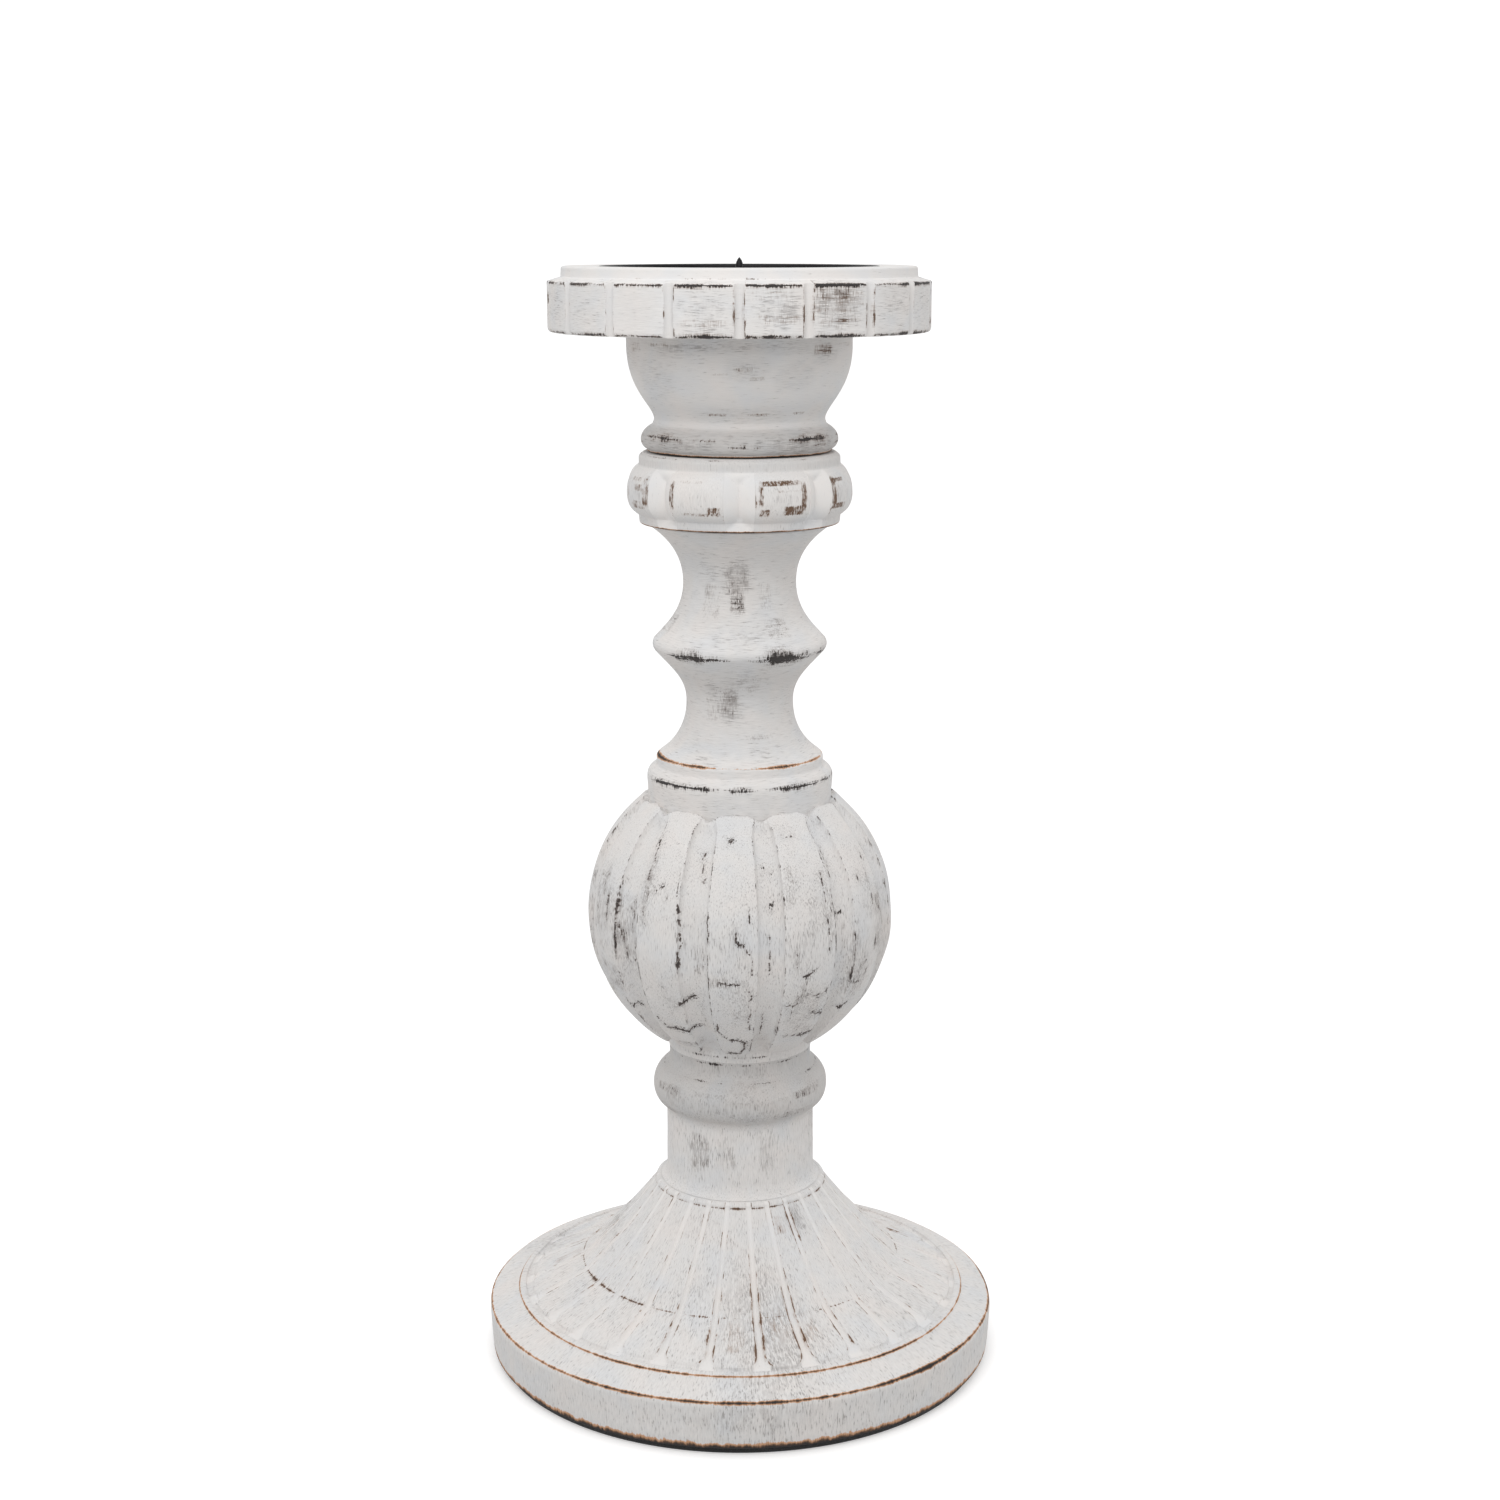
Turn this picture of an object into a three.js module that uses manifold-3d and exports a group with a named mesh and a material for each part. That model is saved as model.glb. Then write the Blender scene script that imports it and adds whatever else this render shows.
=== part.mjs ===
// A turned and carved wooden candlestick for one pillar candle.
// Millimetres, +Z up, origin at the centre of the face it stands on.
//
// The stem is five turned pieces that plug into each other with spigots and are clamped
// between the foot and the cup by a central threaded rod. The notched plate is screwed down
// on the cup. A sheet-iron pan, glued in the plate's recess, traps the head of a nail-like spike.

import * as THREE from 'three';
import { mergeVertices } from 'three/addons/utils/BufferGeometryUtils.js';
import Module from 'manifold-3d';

const wasm = await Module();
wasm.setup();

// ---------------------------------------------------------------- driving dimensions

const GAP = 0.3; // clearance between pieces that touch on the real object

// Heights of the faces where one piece hands over to the next.
const PAD_TOP = 1.6;
const BASE_TOP = 49.6;
const LOWER_STEM_TOP = 87.6;
const BALL_TOP = 157.4;
const UPPER_STEM_TOP = 230.6;
const BAND_TOP = 249.4;
const CUP_TOP = 280.0;
const PLATE_TOP = 296.9;
const SPIKE_TIP = 299.0;

// Foot: a pad, a rim, a raised lip inside it, then a grooved flare up to the ledge.
const PAD_RADIUS = 67.6;
const BASE_BOTTOM_RADIUS = 68.4;
const RIM_RADIUS = 70.0;
const RIM_HEIGHT = 14.8;
const LIP_RADIUS = 61.6;
const LIP_HEIGHT = 18.8;
const CREASE_RADIUS = 43.8;
const CREASE_HEIGHT = 26.0;
const LEDGE_RADIUS = 23.4;
const GROOVES = 27;
const GROOVE_DEPTH = 0.9;
const GROOVE_WIDTH_INNER = 1.7;
const GROOVE_WIDTH_OUTER = 3.6;
const GROOVE_TURN = 5.2; // degrees from the front to the first groove

// Stem.
const CYLINDER_RADIUS = 20.2;
const TORUS_RADIUS = 23.8;
const NECK_RADIUS = 19.2;
const BALL_RADIUS = 40.9;
const BALL_CENTRE = 125.5;
const LOBES = 12;
const CHANNEL_DEPTH = 1.6;
const CHANNEL_TURN = 12; // degrees from the front to the first channel
const COLLAR_RADIUS = 24.9;
const LOWER_COVE_RADIUS = 14.2;
const RING_RADIUS = 23.3;
const RING_HEIGHT = 198.8;
const UPPER_COVE_RADIUS = 15.0;

// Carved band: a bulge between two fillets, with V-shaped cuts.
const FILLET_RADIUS = 26.5;
const BULGE_RADIUS = 29.8;
const BULGE_CENTRE = 239.4;
const BULGE_HALF_HEIGHT = 6.3;
const BAND_CUTS = 8;
const BAND_CUT_WIDTH = 7.6;
const BAND_CUT_HEIGHT = 15.2;
const BAND_CUT_ROOT = 26.3; // radius of the bottom of each cut

// Cup: a bead, a waist and a bell that carries the plate.
const BEAD_RADIUS = 25.8;
const WAIST_RADIUS = 22.3;
const WAIST_HEIGHT = 258.0;
const BELL_RADIUS = 29.5;

// Plate: a notched disc with a lower shoulder round a raised ring.
const PLATE_RADIUS = 49.6;
const SHOULDER_HEIGHT = 293.2;
const STEP_RADIUS = 45.9;
const STEP_HEIGHT = 294.2;
const RECESS_RADIUS = 36.5;
const RECESS_FLOOR = 287.8;
const NOTCHES = 18;
const NOTCH_HALF_WIDTH = 1.7;
const NOTCH_HALF_HEIGHT = 10;

// Pan and spike.
const SHEET = 1.0;
const SPIKE_RADIUS = 0.95;
const SPIKE_HEAD_RADIUS = 3.0;

// Hidden joinery and hardware.
const ROD_RADIUS = 2.9; // M6
const ROD_BORE = 3.5;
const SPIGOT_RADIUS = 10;
const SPIGOT_LENGTH = 8;
const FOOT_SPIGOT_RADIUS = 13;
const FOOT_SPIGOT_LENGTH = 13;
const COUNTERBORE_RADIUS = 9;
const COUNTERBORE_DEPTH = 10;
const WASHER_RADIUS = 8;
const WASHER_THICKNESS = 1.3;
const NUT_ACROSS_FLATS = 10;
const NUT_HEIGHT = 5;
const PLATE_SCREWS = 4;
const PLATE_SCREW_CIRCLE = 17;
const PLATE_SCREW_LENGTH = 22;
const PLATE_SCREW_RADIUS = 1.8;
const PLATE_SCREW_HEAD = 3.8;

// Facets round a turned piece.
const ROUND = 36;
const ROUND_LARGE = 54;
const ROUND_SMALL = 20;

// ---------------------------------------------------------------- materials

const paint = (color) => new THREE.MeshStandardMaterial({ color, roughness: 0.85, metalness: 0 });
const metal = (color, roughness) => new THREE.MeshStandardMaterial({ color, roughness, metalness: 0.9 });

const WHITEWASH = 0xe4e1dd;
const FELT_BLACK = 0x17161a;
const PAN_BLACK = 0x1b1b1e;
const ZINC = 0xb9bcc0;
const BRASSED_STEEL = 0xa88f52;

// ---------------------------------------------------------------- solids

// Turns a closed three.js geometry into a manifold-3d solid.
function toSolid(geometry) {
  const bare = geometry.clone();
  bare.deleteAttribute('normal');
  bare.deleteAttribute('uv');
  const merged = mergeVertices(bare, 1e-4);
  const triangles = [];
  for (let i = 0; i < merged.index.count; i += 3) {
    const [a, b, c] = [0, 1, 2].map((k) => merged.index.getX(i + k));
    if (a !== b && b !== c && c !== a) triangles.push(a, b, c);
  }
  const vertProperties = new Float32Array(merged.attributes.position.array);
  const triVerts = new Uint32Array(triangles);
  return new wasm.Manifold(new wasm.Mesh({ numProp: 3, vertProperties, triVerts }));
}

// Turns a solid back into a geometry.
function toGeometry(solid) {
  const { numProp, vertProperties, triVerts } = solid.getMesh();
  const geometry = new THREE.BufferGeometry();
  const buffer = new THREE.InterleavedBuffer(vertProperties, numProp);
  geometry.setAttribute('position', new THREE.InterleavedBufferAttribute(buffer, 3, 0));
  geometry.setIndex(new THREE.BufferAttribute(triVerts, 1));
  const plain = geometry.toNonIndexed();
  plain.computeVertexNormals();
  return plain;
}

// Starts an outline in the (radius, height) plane.
function outline(radius, height) {
  return new THREE.Path().moveTo(radius, height);
}

// Revolves an outline that runs from the lowest point up about the Z axis.
function turned(path, facets = ROUND, curveSteps = 4) {
  return new THREE.LatheGeometry(path.getPoints(curveSteps), facets).rotateX(Math.PI / 2);
}

// A plain cylinder along Z.
function rod(radius, bottom, top, facets = ROUND_SMALL) {
  const path = outline(0, bottom)
    .lineTo(radius, bottom)
    .lineTo(radius, top)
    .lineTo(0, top);
  return toSolid(turned(path, facets));
}

// Takes the cutters away from a turned piece.
function cut(geometry, ...cutters) {
  return toGeometry(cutters.reduce((solid, cutter) => solid.subtract(cutter), toSolid(geometry)));
}

// Calls make(angle, index) for evenly spaced angles about Z and returns the results.
function around(count, make, turnDegrees = 0) {
  const start = THREE.MathUtils.degToRad(turnDegrees);
  return Array.from({ length: count }, (_, i) => make(start + (i * 2 * Math.PI) / count, i));
}

const part = new THREE.Group();
part.name = 'wooden_candlestick';

function add(name, geometry, material) {
  const mesh = new THREE.Mesh(geometry, material);
  mesh.name = name;
  part.add(mesh);
  return mesh;
}

// ---------------------------------------------------------------- foot

// A thin felt disc glued under the foot, which covers the counterbore of the rod's nut.
function basePad() {
  const path = outline(0, 0)
    .lineTo(PAD_RADIUS, 0)
    .lineTo(PAD_RADIUS, PAD_TOP)
    .lineTo(0, PAD_TOP);
  return turned(path, ROUND_LARGE);
}

// The outer outline of the foot, from its underside to the ledge round the stem.
function baseOutline() {
  const bottom = PAD_TOP + GAP;
  return outline(0, bottom)
    .lineTo(BASE_BOTTOM_RADIUS, bottom)
    .quadraticCurveTo(RIM_RADIUS - 0.7, bottom + 0.6, RIM_RADIUS - 0.6, bottom + 3)
    .lineTo(RIM_RADIUS, RIM_HEIGHT - 1.6)
    .lineTo(RIM_RADIUS - 0.4, RIM_HEIGHT)
    .lineTo(LIP_RADIUS, LIP_HEIGHT - 0.8)
    .lineTo(LIP_RADIUS - 0.4, LIP_HEIGHT)
    .lineTo(LIP_RADIUS - 1.6, LIP_HEIGHT)
    .lineTo(LIP_RADIUS - 3.4, LIP_HEIGHT + 0.3)
    .quadraticCurveTo(CREASE_RADIUS + 7.5, CREASE_HEIGHT - 4, CREASE_RADIUS, CREASE_HEIGHT)
    .quadraticCurveTo(LEDGE_RADIUS + 7.5, CREASE_HEIGHT + 12, LEDGE_RADIUS, BASE_TOP - 1)
    .lineTo(LEDGE_RADIUS - 0.7, BASE_TOP)
    .lineTo(0, BASE_TOP);
}

// Grooves run down the flare: each takes four columns of the surface, two at its edges and
// two on its floor, which close in towards the ledge. Elsewhere the columns lie on the surface.
function base() {
  const columns = 4;
  const curveSteps = 3;
  const geometry = turned(baseOutline(), GROOVES * columns, curveSteps);
  const rows = baseOutline().getPoints(curveSteps).length;
  const pitch = (2 * Math.PI) / GROOVES;
  const grooveStart = LIP_RADIUS - 4.5;
  const grooveEnd = LEDGE_RADIUS - 0.1;
  const position = geometry.attributes.position;
  for (let i = 0; i < position.count; i++) {
    const column = Math.floor(i / rows);
    const radius = Math.hypot(position.getX(i), position.getY(i));
    const height = position.getZ(i);
    const onFlare = height > LIP_HEIGHT && radius <= grooveStart && radius >= grooveEnd;
    const along = THREE.MathUtils.clamp((radius - LEDGE_RADIUS) / (grooveStart - LEDGE_RADIUS), 0, 1);
    const width = THREE.MathUtils.lerp(GROOVE_WIDTH_INNER, GROOVE_WIDTH_OUTER, along);
    const halfAngle = onFlare ? width / 2 / radius : pitch / 4;
    const offsets = [-1, -0.6, 0.6, 1].map((share) => share * halfAngle);
    const angle = Math.floor(column / columns) * pitch + offsets[column % columns];
    const onFloor = column % columns === 1 || column % columns === 2;
    const drop = onFlare && onFloor ? GROOVE_DEPTH : 0;
    position.setXYZ(i, radius * Math.sin(angle), -radius * Math.cos(angle), height - drop);
  }
  geometry.rotateZ(THREE.MathUtils.degToRad(GROOVE_TURN));
  const bottom = PAD_TOP + GAP;
  const socket = rod(FOOT_SPIGOT_RADIUS + GAP, BASE_TOP - FOOT_SPIGOT_LENGTH - GAP, BASE_TOP + 1);
  const bore = rod(ROD_BORE, bottom - 1, BASE_TOP);
  const counterbore = rod(COUNTERBORE_RADIUS, bottom - 1, bottom + COUNTERBORE_DEPTH);
  return cut(geometry, socket, bore, counterbore);
}

// ---------------------------------------------------------------- stem

// Cylinder, torus and neck, with a spigot at each end.
function lowerStem() {
  const bottom = BASE_TOP + GAP;
  const torusBottom = 70.6;
  const torusMiddle = 77;
  const torusTop = 83;
  const path = outline(0, bottom - FOOT_SPIGOT_LENGTH)
    .lineTo(FOOT_SPIGOT_RADIUS, bottom - FOOT_SPIGOT_LENGTH)
    .lineTo(FOOT_SPIGOT_RADIUS, bottom)
    .lineTo(CYLINDER_RADIUS + 0.2, bottom)
    .lineTo(CYLINDER_RADIUS - 0.1, torusBottom - 1.4)
    .lineTo(CYLINDER_RADIUS + 0.7, torusBottom - 0.4)
    .bezierCurveTo(
      TORUS_RADIUS - 0.6, torusBottom + 0.6, TORUS_RADIUS, torusMiddle - 4, TORUS_RADIUS, torusMiddle)
    .bezierCurveTo(
      TORUS_RADIUS, torusMiddle + 4, TORUS_RADIUS - 1.6, torusTop - 1.4, NECK_RADIUS + 0.8, torusTop)
    .quadraticCurveTo(NECK_RADIUS - 0.4, torusTop + 2.4, NECK_RADIUS + 0.3, LOWER_STEM_TOP)
    .lineTo(SPIGOT_RADIUS, LOWER_STEM_TOP)
    .lineTo(SPIGOT_RADIUS, LOWER_STEM_TOP + SPIGOT_LENGTH)
    .lineTo(0, LOWER_STEM_TOP + SPIGOT_LENGTH);
  return cut(turned(path), rod(ROD_BORE, 0, BALL_CENTRE));
}

// A sphere cut off flat at both ends, with lobes parted by concave channels.
function ball() {
  const bottom = LOWER_STEM_TOP + GAP;
  const columns = 6;
  const startAngle = Math.asin((bottom - BALL_CENTRE) / BALL_RADIUS);
  const endAngle = Math.asin((BALL_TOP - BALL_CENTRE) / BALL_RADIUS);
  const path = outline(0, bottom)
    .lineTo(BALL_RADIUS * Math.cos(startAngle), bottom)
    .absarc(0, BALL_CENTRE, BALL_RADIUS, startAngle, endAngle, false)
    .lineTo(0, BALL_TOP);
  const geometry = turned(path, LOBES * columns, 6);
  const position = geometry.attributes.position;
  for (let i = 0; i < position.count; i++) {
    const angle = Math.atan2(position.getX(i), -position.getY(i));
    const radius = Math.hypot(position.getX(i), position.getY(i));
    const across = Math.abs(Math.sin((LOBES * angle) / 2)); // 0 on a channel's centre line
    const level = (position.getZ(i) - BALL_CENTRE) / BALL_RADIUS;
    const fade = Math.max(0, 1 - Math.abs(level / 0.86) ** 6);
    const drop = CHANNEL_DEPTH * fade * Math.max(0, 1 - (across / 0.9) ** 2);
    const scale = radius > 0 ? (radius - drop) / radius : 1;
    position.setXY(i, position.getX(i) * scale, position.getY(i) * scale);
  }
  geometry.rotateZ(THREE.MathUtils.degToRad(CHANNEL_TURN));
  const socket = SPIGOT_LENGTH + GAP;
  return cut(
    geometry,
    rod(ROD_BORE, bottom - 1, BALL_TOP + 1),
    rod(SPIGOT_RADIUS + GAP, bottom - 1, LOWER_STEM_TOP + socket),
    rod(SPIGOT_RADIUS + GAP, BALL_TOP + GAP - socket, BALL_TOP + 1),
  );
}

// Collar, lower cove, sharp ring and upper cove, with a spigot at each end.
function upperStem() {
  const bottom = BALL_TOP + GAP;
  const collarTop = 165.6;
  const stepTop = 168.9;
  const stepRadius = 22.4;
  const lowerWaist = 183.5;
  const upperWaist = 215.2;
  const flareRadius = 23.8;
  const path = outline(0, bottom - SPIGOT_LENGTH)
    .lineTo(SPIGOT_RADIUS, bottom - SPIGOT_LENGTH)
    .lineTo(SPIGOT_RADIUS, bottom)
    .lineTo(COLLAR_RADIUS - 0.3, bottom)
    .lineTo(COLLAR_RADIUS, collarTop - 2.2)
    .quadraticCurveTo(COLLAR_RADIUS, collarTop, stepRadius, collarTop)
    .lineTo(stepRadius, stepTop)
    .bezierCurveTo(17, stepTop + 3.9, LOWER_COVE_RADIUS, 177, LOWER_COVE_RADIUS, lowerWaist)
    .bezierCurveTo(LOWER_COVE_RADIUS, 190, 18.5, 193.5, RING_RADIUS, RING_HEIGHT - 0.6)
    .lineTo(RING_RADIUS, RING_HEIGHT + 0.6)
    .bezierCurveTo(18.6, 203.6, UPPER_COVE_RADIUS, 208, UPPER_COVE_RADIUS, upperWaist)
    .bezierCurveTo(UPPER_COVE_RADIUS, 222.5, 17.8, 226.6, flareRadius, UPPER_STEM_TOP)
    .lineTo(SPIGOT_RADIUS, UPPER_STEM_TOP)
    .lineTo(SPIGOT_RADIUS, UPPER_STEM_TOP + SPIGOT_LENGTH)
    .lineTo(0, UPPER_STEM_TOP + SPIGOT_LENGTH);
  return cut(turned(path), rod(ROD_BORE, BALL_CENTRE, CUP_TOP));
}

// One V-shaped cut with hipped ends, like a roof laid on its back across the bulge.
function bandCutter(angle) {
  const w = BAND_CUT_WIDTH / 2;
  const h = BAND_CUT_HEIGHT / 2;
  const ridge = h * 0.45;
  const outer = BULGE_RADIUS + 1;
  const corners = [
    [-w, -outer, -h], [w, -outer, -h], [w, -outer, h], [-w, -outer, h],
    [0, -BAND_CUT_ROOT, -ridge], [0, -BAND_CUT_ROOT, ridge],
  ];
  const geometry = new THREE.BufferGeometry();
  geometry.setAttribute('position', new THREE.Float32BufferAttribute(corners.flat(), 3));
  geometry.setIndex([0, 1, 2, 0, 2, 3, 0, 4, 1, 2, 5, 3, 1, 4, 5, 1, 5, 2, 0, 3, 5, 0, 5, 4]);
  return toSolid(geometry.translate(0, 0, BULGE_CENTRE + 0.4).rotateZ(angle));
}

// A ring whose bulge is cut into eight pillows; spigots from below and above meet in its bore.
function carvedBand() {
  const bottom = UPPER_STEM_TOP + GAP;
  const bulgeBottom = BULGE_CENTRE - BULGE_HALF_HEIGHT;
  const bulgeTop = BULGE_CENTRE + BULGE_HALF_HEIGHT;
  const path = outline(0, bottom)
    .lineTo(FILLET_RADIUS - 0.2, bottom)
    .lineTo(FILLET_RADIUS, bottom + 0.5)
    .lineTo(FILLET_RADIUS, bulgeBottom)
    .bezierCurveTo(
      BULGE_RADIUS - 1.2, bulgeBottom + 1, BULGE_RADIUS, bulgeBottom + 3, BULGE_RADIUS, BULGE_CENTRE)
    .bezierCurveTo(
      BULGE_RADIUS, bulgeTop - 3, BULGE_RADIUS - 1.4, bulgeTop - 1, FILLET_RADIUS + 0.1, bulgeTop)
    .lineTo(FILLET_RADIUS, BAND_TOP - 1.2)
    .lineTo(FILLET_RADIUS - 1.6, BAND_TOP)
    .lineTo(0, BAND_TOP);
  const bore = rod(SPIGOT_RADIUS + GAP, bottom - 1, BAND_TOP + 1);
  return cut(turned(path, ROUND, 4), bore, ...around(BAND_CUTS, bandCutter));
}

// Bead, waist and bell; a spigot below, and a counterbore above for the rod's upper nut.
function cup() {
  const bottom = BAND_TOP + GAP;
  const beadTop = 256;
  const path = outline(0, bottom - SPIGOT_LENGTH)
    .lineTo(SPIGOT_RADIUS, bottom - SPIGOT_LENGTH)
    .lineTo(SPIGOT_RADIUS, bottom)
    .lineTo(24.2, bottom)
    .lineTo(24.4, bottom + 0.7)
    .bezierCurveTo(BEAD_RADIUS, bottom + 1.4, BEAD_RADIUS + 0.5, beadTop - 2, 23.7, beadTop)
    .lineTo(WAIST_RADIUS, beadTop + 1.1)
    .lineTo(WAIST_RADIUS, WAIST_HEIGHT)
    .bezierCurveTo(24.6, 262.6, BELL_RADIUS, 266, BELL_RADIUS, CUP_TOP - 3.5)
    .lineTo(BELL_RADIUS - 0.1, CUP_TOP)
    .lineTo(0, CUP_TOP);
  const screwHoles = around(PLATE_SCREWS, (angle) => plateScrewHole(angle, CUP_TOP + 1), 45);
  return cut(
    turned(path),
    rod(ROD_BORE, UPPER_STEM_TOP, CUP_TOP + 1),
    rod(COUNTERBORE_RADIUS, CUP_TOP - COUNTERBORE_DEPTH, CUP_TOP + 1),
    ...screwHoles,
  );
}

// ---------------------------------------------------------------- plate

const PLATE_SCREW_TOP = RECESS_FLOOR - 0.5;

// The clearance hole of one wood screw, up to the given height.
function plateScrewHole(angle, top) {
  const bottom = PLATE_SCREW_TOP - PLATE_SCREW_LENGTH - 1;
  return rod(PLATE_SCREW_RADIUS + GAP, bottom, top, 12)
    .translate([PLATE_SCREW_CIRCLE * Math.sin(angle), -PLATE_SCREW_CIRCLE * Math.cos(angle), 0]);
}

// A spindle that leaves a lens-shaped gouge in the plate's edge.
function notchCutter(angle) {
  const w = NOTCH_HALF_WIDTH;
  const h = NOTCH_HALF_HEIGHT;
  const path = outline(0, -h)
    .lineTo(w * 0.8, -h * 0.5)
    .lineTo(w, 0)
    .lineTo(w * 0.8, h * 0.5)
    .lineTo(0, h);
  const middle = (CUP_TOP + GAP + SHOULDER_HEIGHT) / 2;
  return toSolid(turned(path, 6).translate(0, -PLATE_RADIUS - 0.6, middle).rotateZ(angle));
}

function plate() {
  const bottom = CUP_TOP + GAP;
  const path = outline(0, bottom)
    .lineTo(PLATE_RADIUS - 0.8, bottom)
    .lineTo(PLATE_RADIUS, bottom + 0.8)
    .lineTo(PLATE_RADIUS, SHOULDER_HEIGHT - 0.4)
    .lineTo(PLATE_RADIUS - 0.3, SHOULDER_HEIGHT)
    .lineTo(STEP_RADIUS, STEP_HEIGHT)
    .lineTo(STEP_RADIUS - 0.1, PLATE_TOP - 0.3)
    .lineTo(STEP_RADIUS - 0.4, PLATE_TOP)
    .lineTo(0, PLATE_TOP);
  const headSink = turned(
    outline(0, PLATE_SCREW_TOP - 3)
      .lineTo(PLATE_SCREW_RADIUS + GAP, PLATE_SCREW_TOP - 3)
      .lineTo(PLATE_SCREW_HEAD + GAP, PLATE_SCREW_TOP)
      .lineTo(PLATE_SCREW_HEAD + GAP, RECESS_FLOOR + 1)
      .lineTo(0, RECESS_FLOOR + 1),
    12,
  ).translate(0, -PLATE_SCREW_CIRCLE, 0);
  const sinks = around(PLATE_SCREWS, (angle) => toSolid(headSink.clone().rotateZ(angle)), 45);
  const screwHoles = around(PLATE_SCREWS, (angle) => plateScrewHole(angle, RECESS_FLOOR + 1), 45);
  return cut(
    turned(path, ROUND_LARGE),
    rod(RECESS_RADIUS, RECESS_FLOOR, PLATE_TOP + 1, ROUND_LARGE),
    rod(SPIKE_HEAD_RADIUS + 2, bottom - 1, RECESS_FLOOR + 1),
    ...sinks,
    ...screwHoles,
    ...around(NOTCHES, notchCutter),
  );
}

// ---------------------------------------------------------------- pan and spike

const PAN_BOTTOM = RECESS_FLOOR + GAP;
const PAN_FLOOR = PAN_BOTTOM + SHEET;
const PAN_RADIUS = RECESS_RADIUS - GAP;

// A shallow dish of sheet iron with a straight rim, flush with the plate's top.
function dripPan() {
  const corner = 2.4;
  const path = outline(0, PAN_BOTTOM)
    .lineTo(PAN_RADIUS - corner, PAN_BOTTOM)
    .quadraticCurveTo(PAN_RADIUS, PAN_BOTTOM, PAN_RADIUS, PAN_BOTTOM + corner)
    .lineTo(PAN_RADIUS, PLATE_TOP)
    .lineTo(PAN_RADIUS - SHEET, PLATE_TOP)
    .lineTo(PAN_RADIUS - SHEET, PAN_FLOOR + corner - 0.6)
    .quadraticCurveTo(PAN_RADIUS - SHEET, PAN_FLOOR, PAN_RADIUS - SHEET - corner + 0.6, PAN_FLOOR)
    .lineTo(0, PAN_FLOOR);
  return cut(turned(path, ROUND), rod(SPIKE_RADIUS + GAP, PAN_BOTTOM - 1, PAN_FLOOR + 1, 12));
}

// A nail pushed up through the pan, its head under the sheet.
function spike() {
  const headTop = PAN_BOTTOM - GAP;
  const tipLength = 1.9;
  const path = outline(0, headTop - 1.2)
    .lineTo(SPIKE_HEAD_RADIUS, headTop - 1.2)
    .lineTo(SPIKE_HEAD_RADIUS, headTop)
    .lineTo(SPIKE_RADIUS, headTop)
    .lineTo(SPIKE_RADIUS, SPIKE_TIP - tipLength)
    .lineTo(0, SPIKE_TIP);
  return turned(path, 16);
}

// ---------------------------------------------------------------- hardware

function washer(bottom) {
  const bore = ROD_RADIUS + GAP;
  const path = outline(bore, bottom)
    .lineTo(WASHER_RADIUS, bottom)
    .lineTo(WASHER_RADIUS, bottom + WASHER_THICKNESS)
    .lineTo(bore, bottom + WASHER_THICKNESS)
    .lineTo(bore, bottom);
  return turned(path, ROUND_SMALL);
}

function nut(bottom) {
  const corner = NUT_ACROSS_FLATS / 2 / Math.cos(Math.PI / 6);
  const hexagon = new THREE.CylinderGeometry(corner, corner, NUT_HEIGHT, 6);
  hexagon.rotateX(Math.PI / 2).translate(0, 0, bottom + NUT_HEIGHT / 2);
  return cut(hexagon, rod(ROD_RADIUS + GAP, bottom - 1, bottom + NUT_HEIGHT + 1));
}

function tieRod(bottom, top) {
  const chamfer = 0.6;
  const path = outline(0, bottom)
    .lineTo(ROD_RADIUS - chamfer, bottom)
    .lineTo(ROD_RADIUS, bottom + chamfer)
    .lineTo(ROD_RADIUS, top - chamfer)
    .lineTo(ROD_RADIUS - chamfer, top)
    .lineTo(0, top);
  return turned(path, ROUND_SMALL);
}

// A countersunk wood screw, head up, standing on the Z axis.
function plateScrew() {
  const top = PLATE_SCREW_TOP;
  const tip = top - PLATE_SCREW_LENGTH;
  const path = outline(0, tip)
    .lineTo(PLATE_SCREW_RADIUS * 0.7, tip + 3)
    .lineTo(PLATE_SCREW_RADIUS, tip + 8)
    .lineTo(PLATE_SCREW_RADIUS, top - 2.6)
    .lineTo(PLATE_SCREW_HEAD, top - 0.4)
    .lineTo(PLATE_SCREW_HEAD, top)
    .lineTo(0, top);
  return turned(path, 12);
}

// Places a copy of a fastener on a circle, at an angle from the front.
function placeOnCircle(mesh, radius, angle) {
  mesh.position.set(radius * Math.sin(angle), -radius * Math.cos(angle), 0);
  mesh.rotation.z = angle;
}

// ---------------------------------------------------------------- assembly

const lowerSeat = PAD_TOP + GAP + COUNTERBORE_DEPTH; // roof of the foot's counterbore
const upperSeat = CUP_TOP - COUNTERBORE_DEPTH; // floor of the cup's counterbore
const stack = GAP + WASHER_THICKNESS + GAP;

add('base_pad', basePad(), paint(FELT_BLACK));
add('base', base(), paint(WHITEWASH));
add('lower_stem', lowerStem(), paint(WHITEWASH));
add('ball', ball(), paint(WHITEWASH));
add('upper_stem', upperStem(), paint(WHITEWASH));
add('carved_band', carvedBand(), paint(WHITEWASH));
add('cup', cup(), paint(WHITEWASH));
add('plate', plate(), paint(WHITEWASH));
add('drip_pan', dripPan(), metal(PAN_BLACK, 0.5));
add('spike', spike(), metal(PAN_BLACK, 0.45));
add('tie_rod', tieRod(PAD_TOP + 1, CUP_TOP - 1.6), metal(ZINC, 0.35));
add('bottom_washer', washer(lowerSeat - GAP - WASHER_THICKNESS), metal(ZINC, 0.35));
add('bottom_nut', nut(lowerSeat - stack - NUT_HEIGHT), metal(ZINC, 0.35));
add('top_washer', washer(upperSeat + GAP), metal(ZINC, 0.35));
add('top_nut', nut(upperSeat + stack), metal(ZINC, 0.35));
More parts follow.
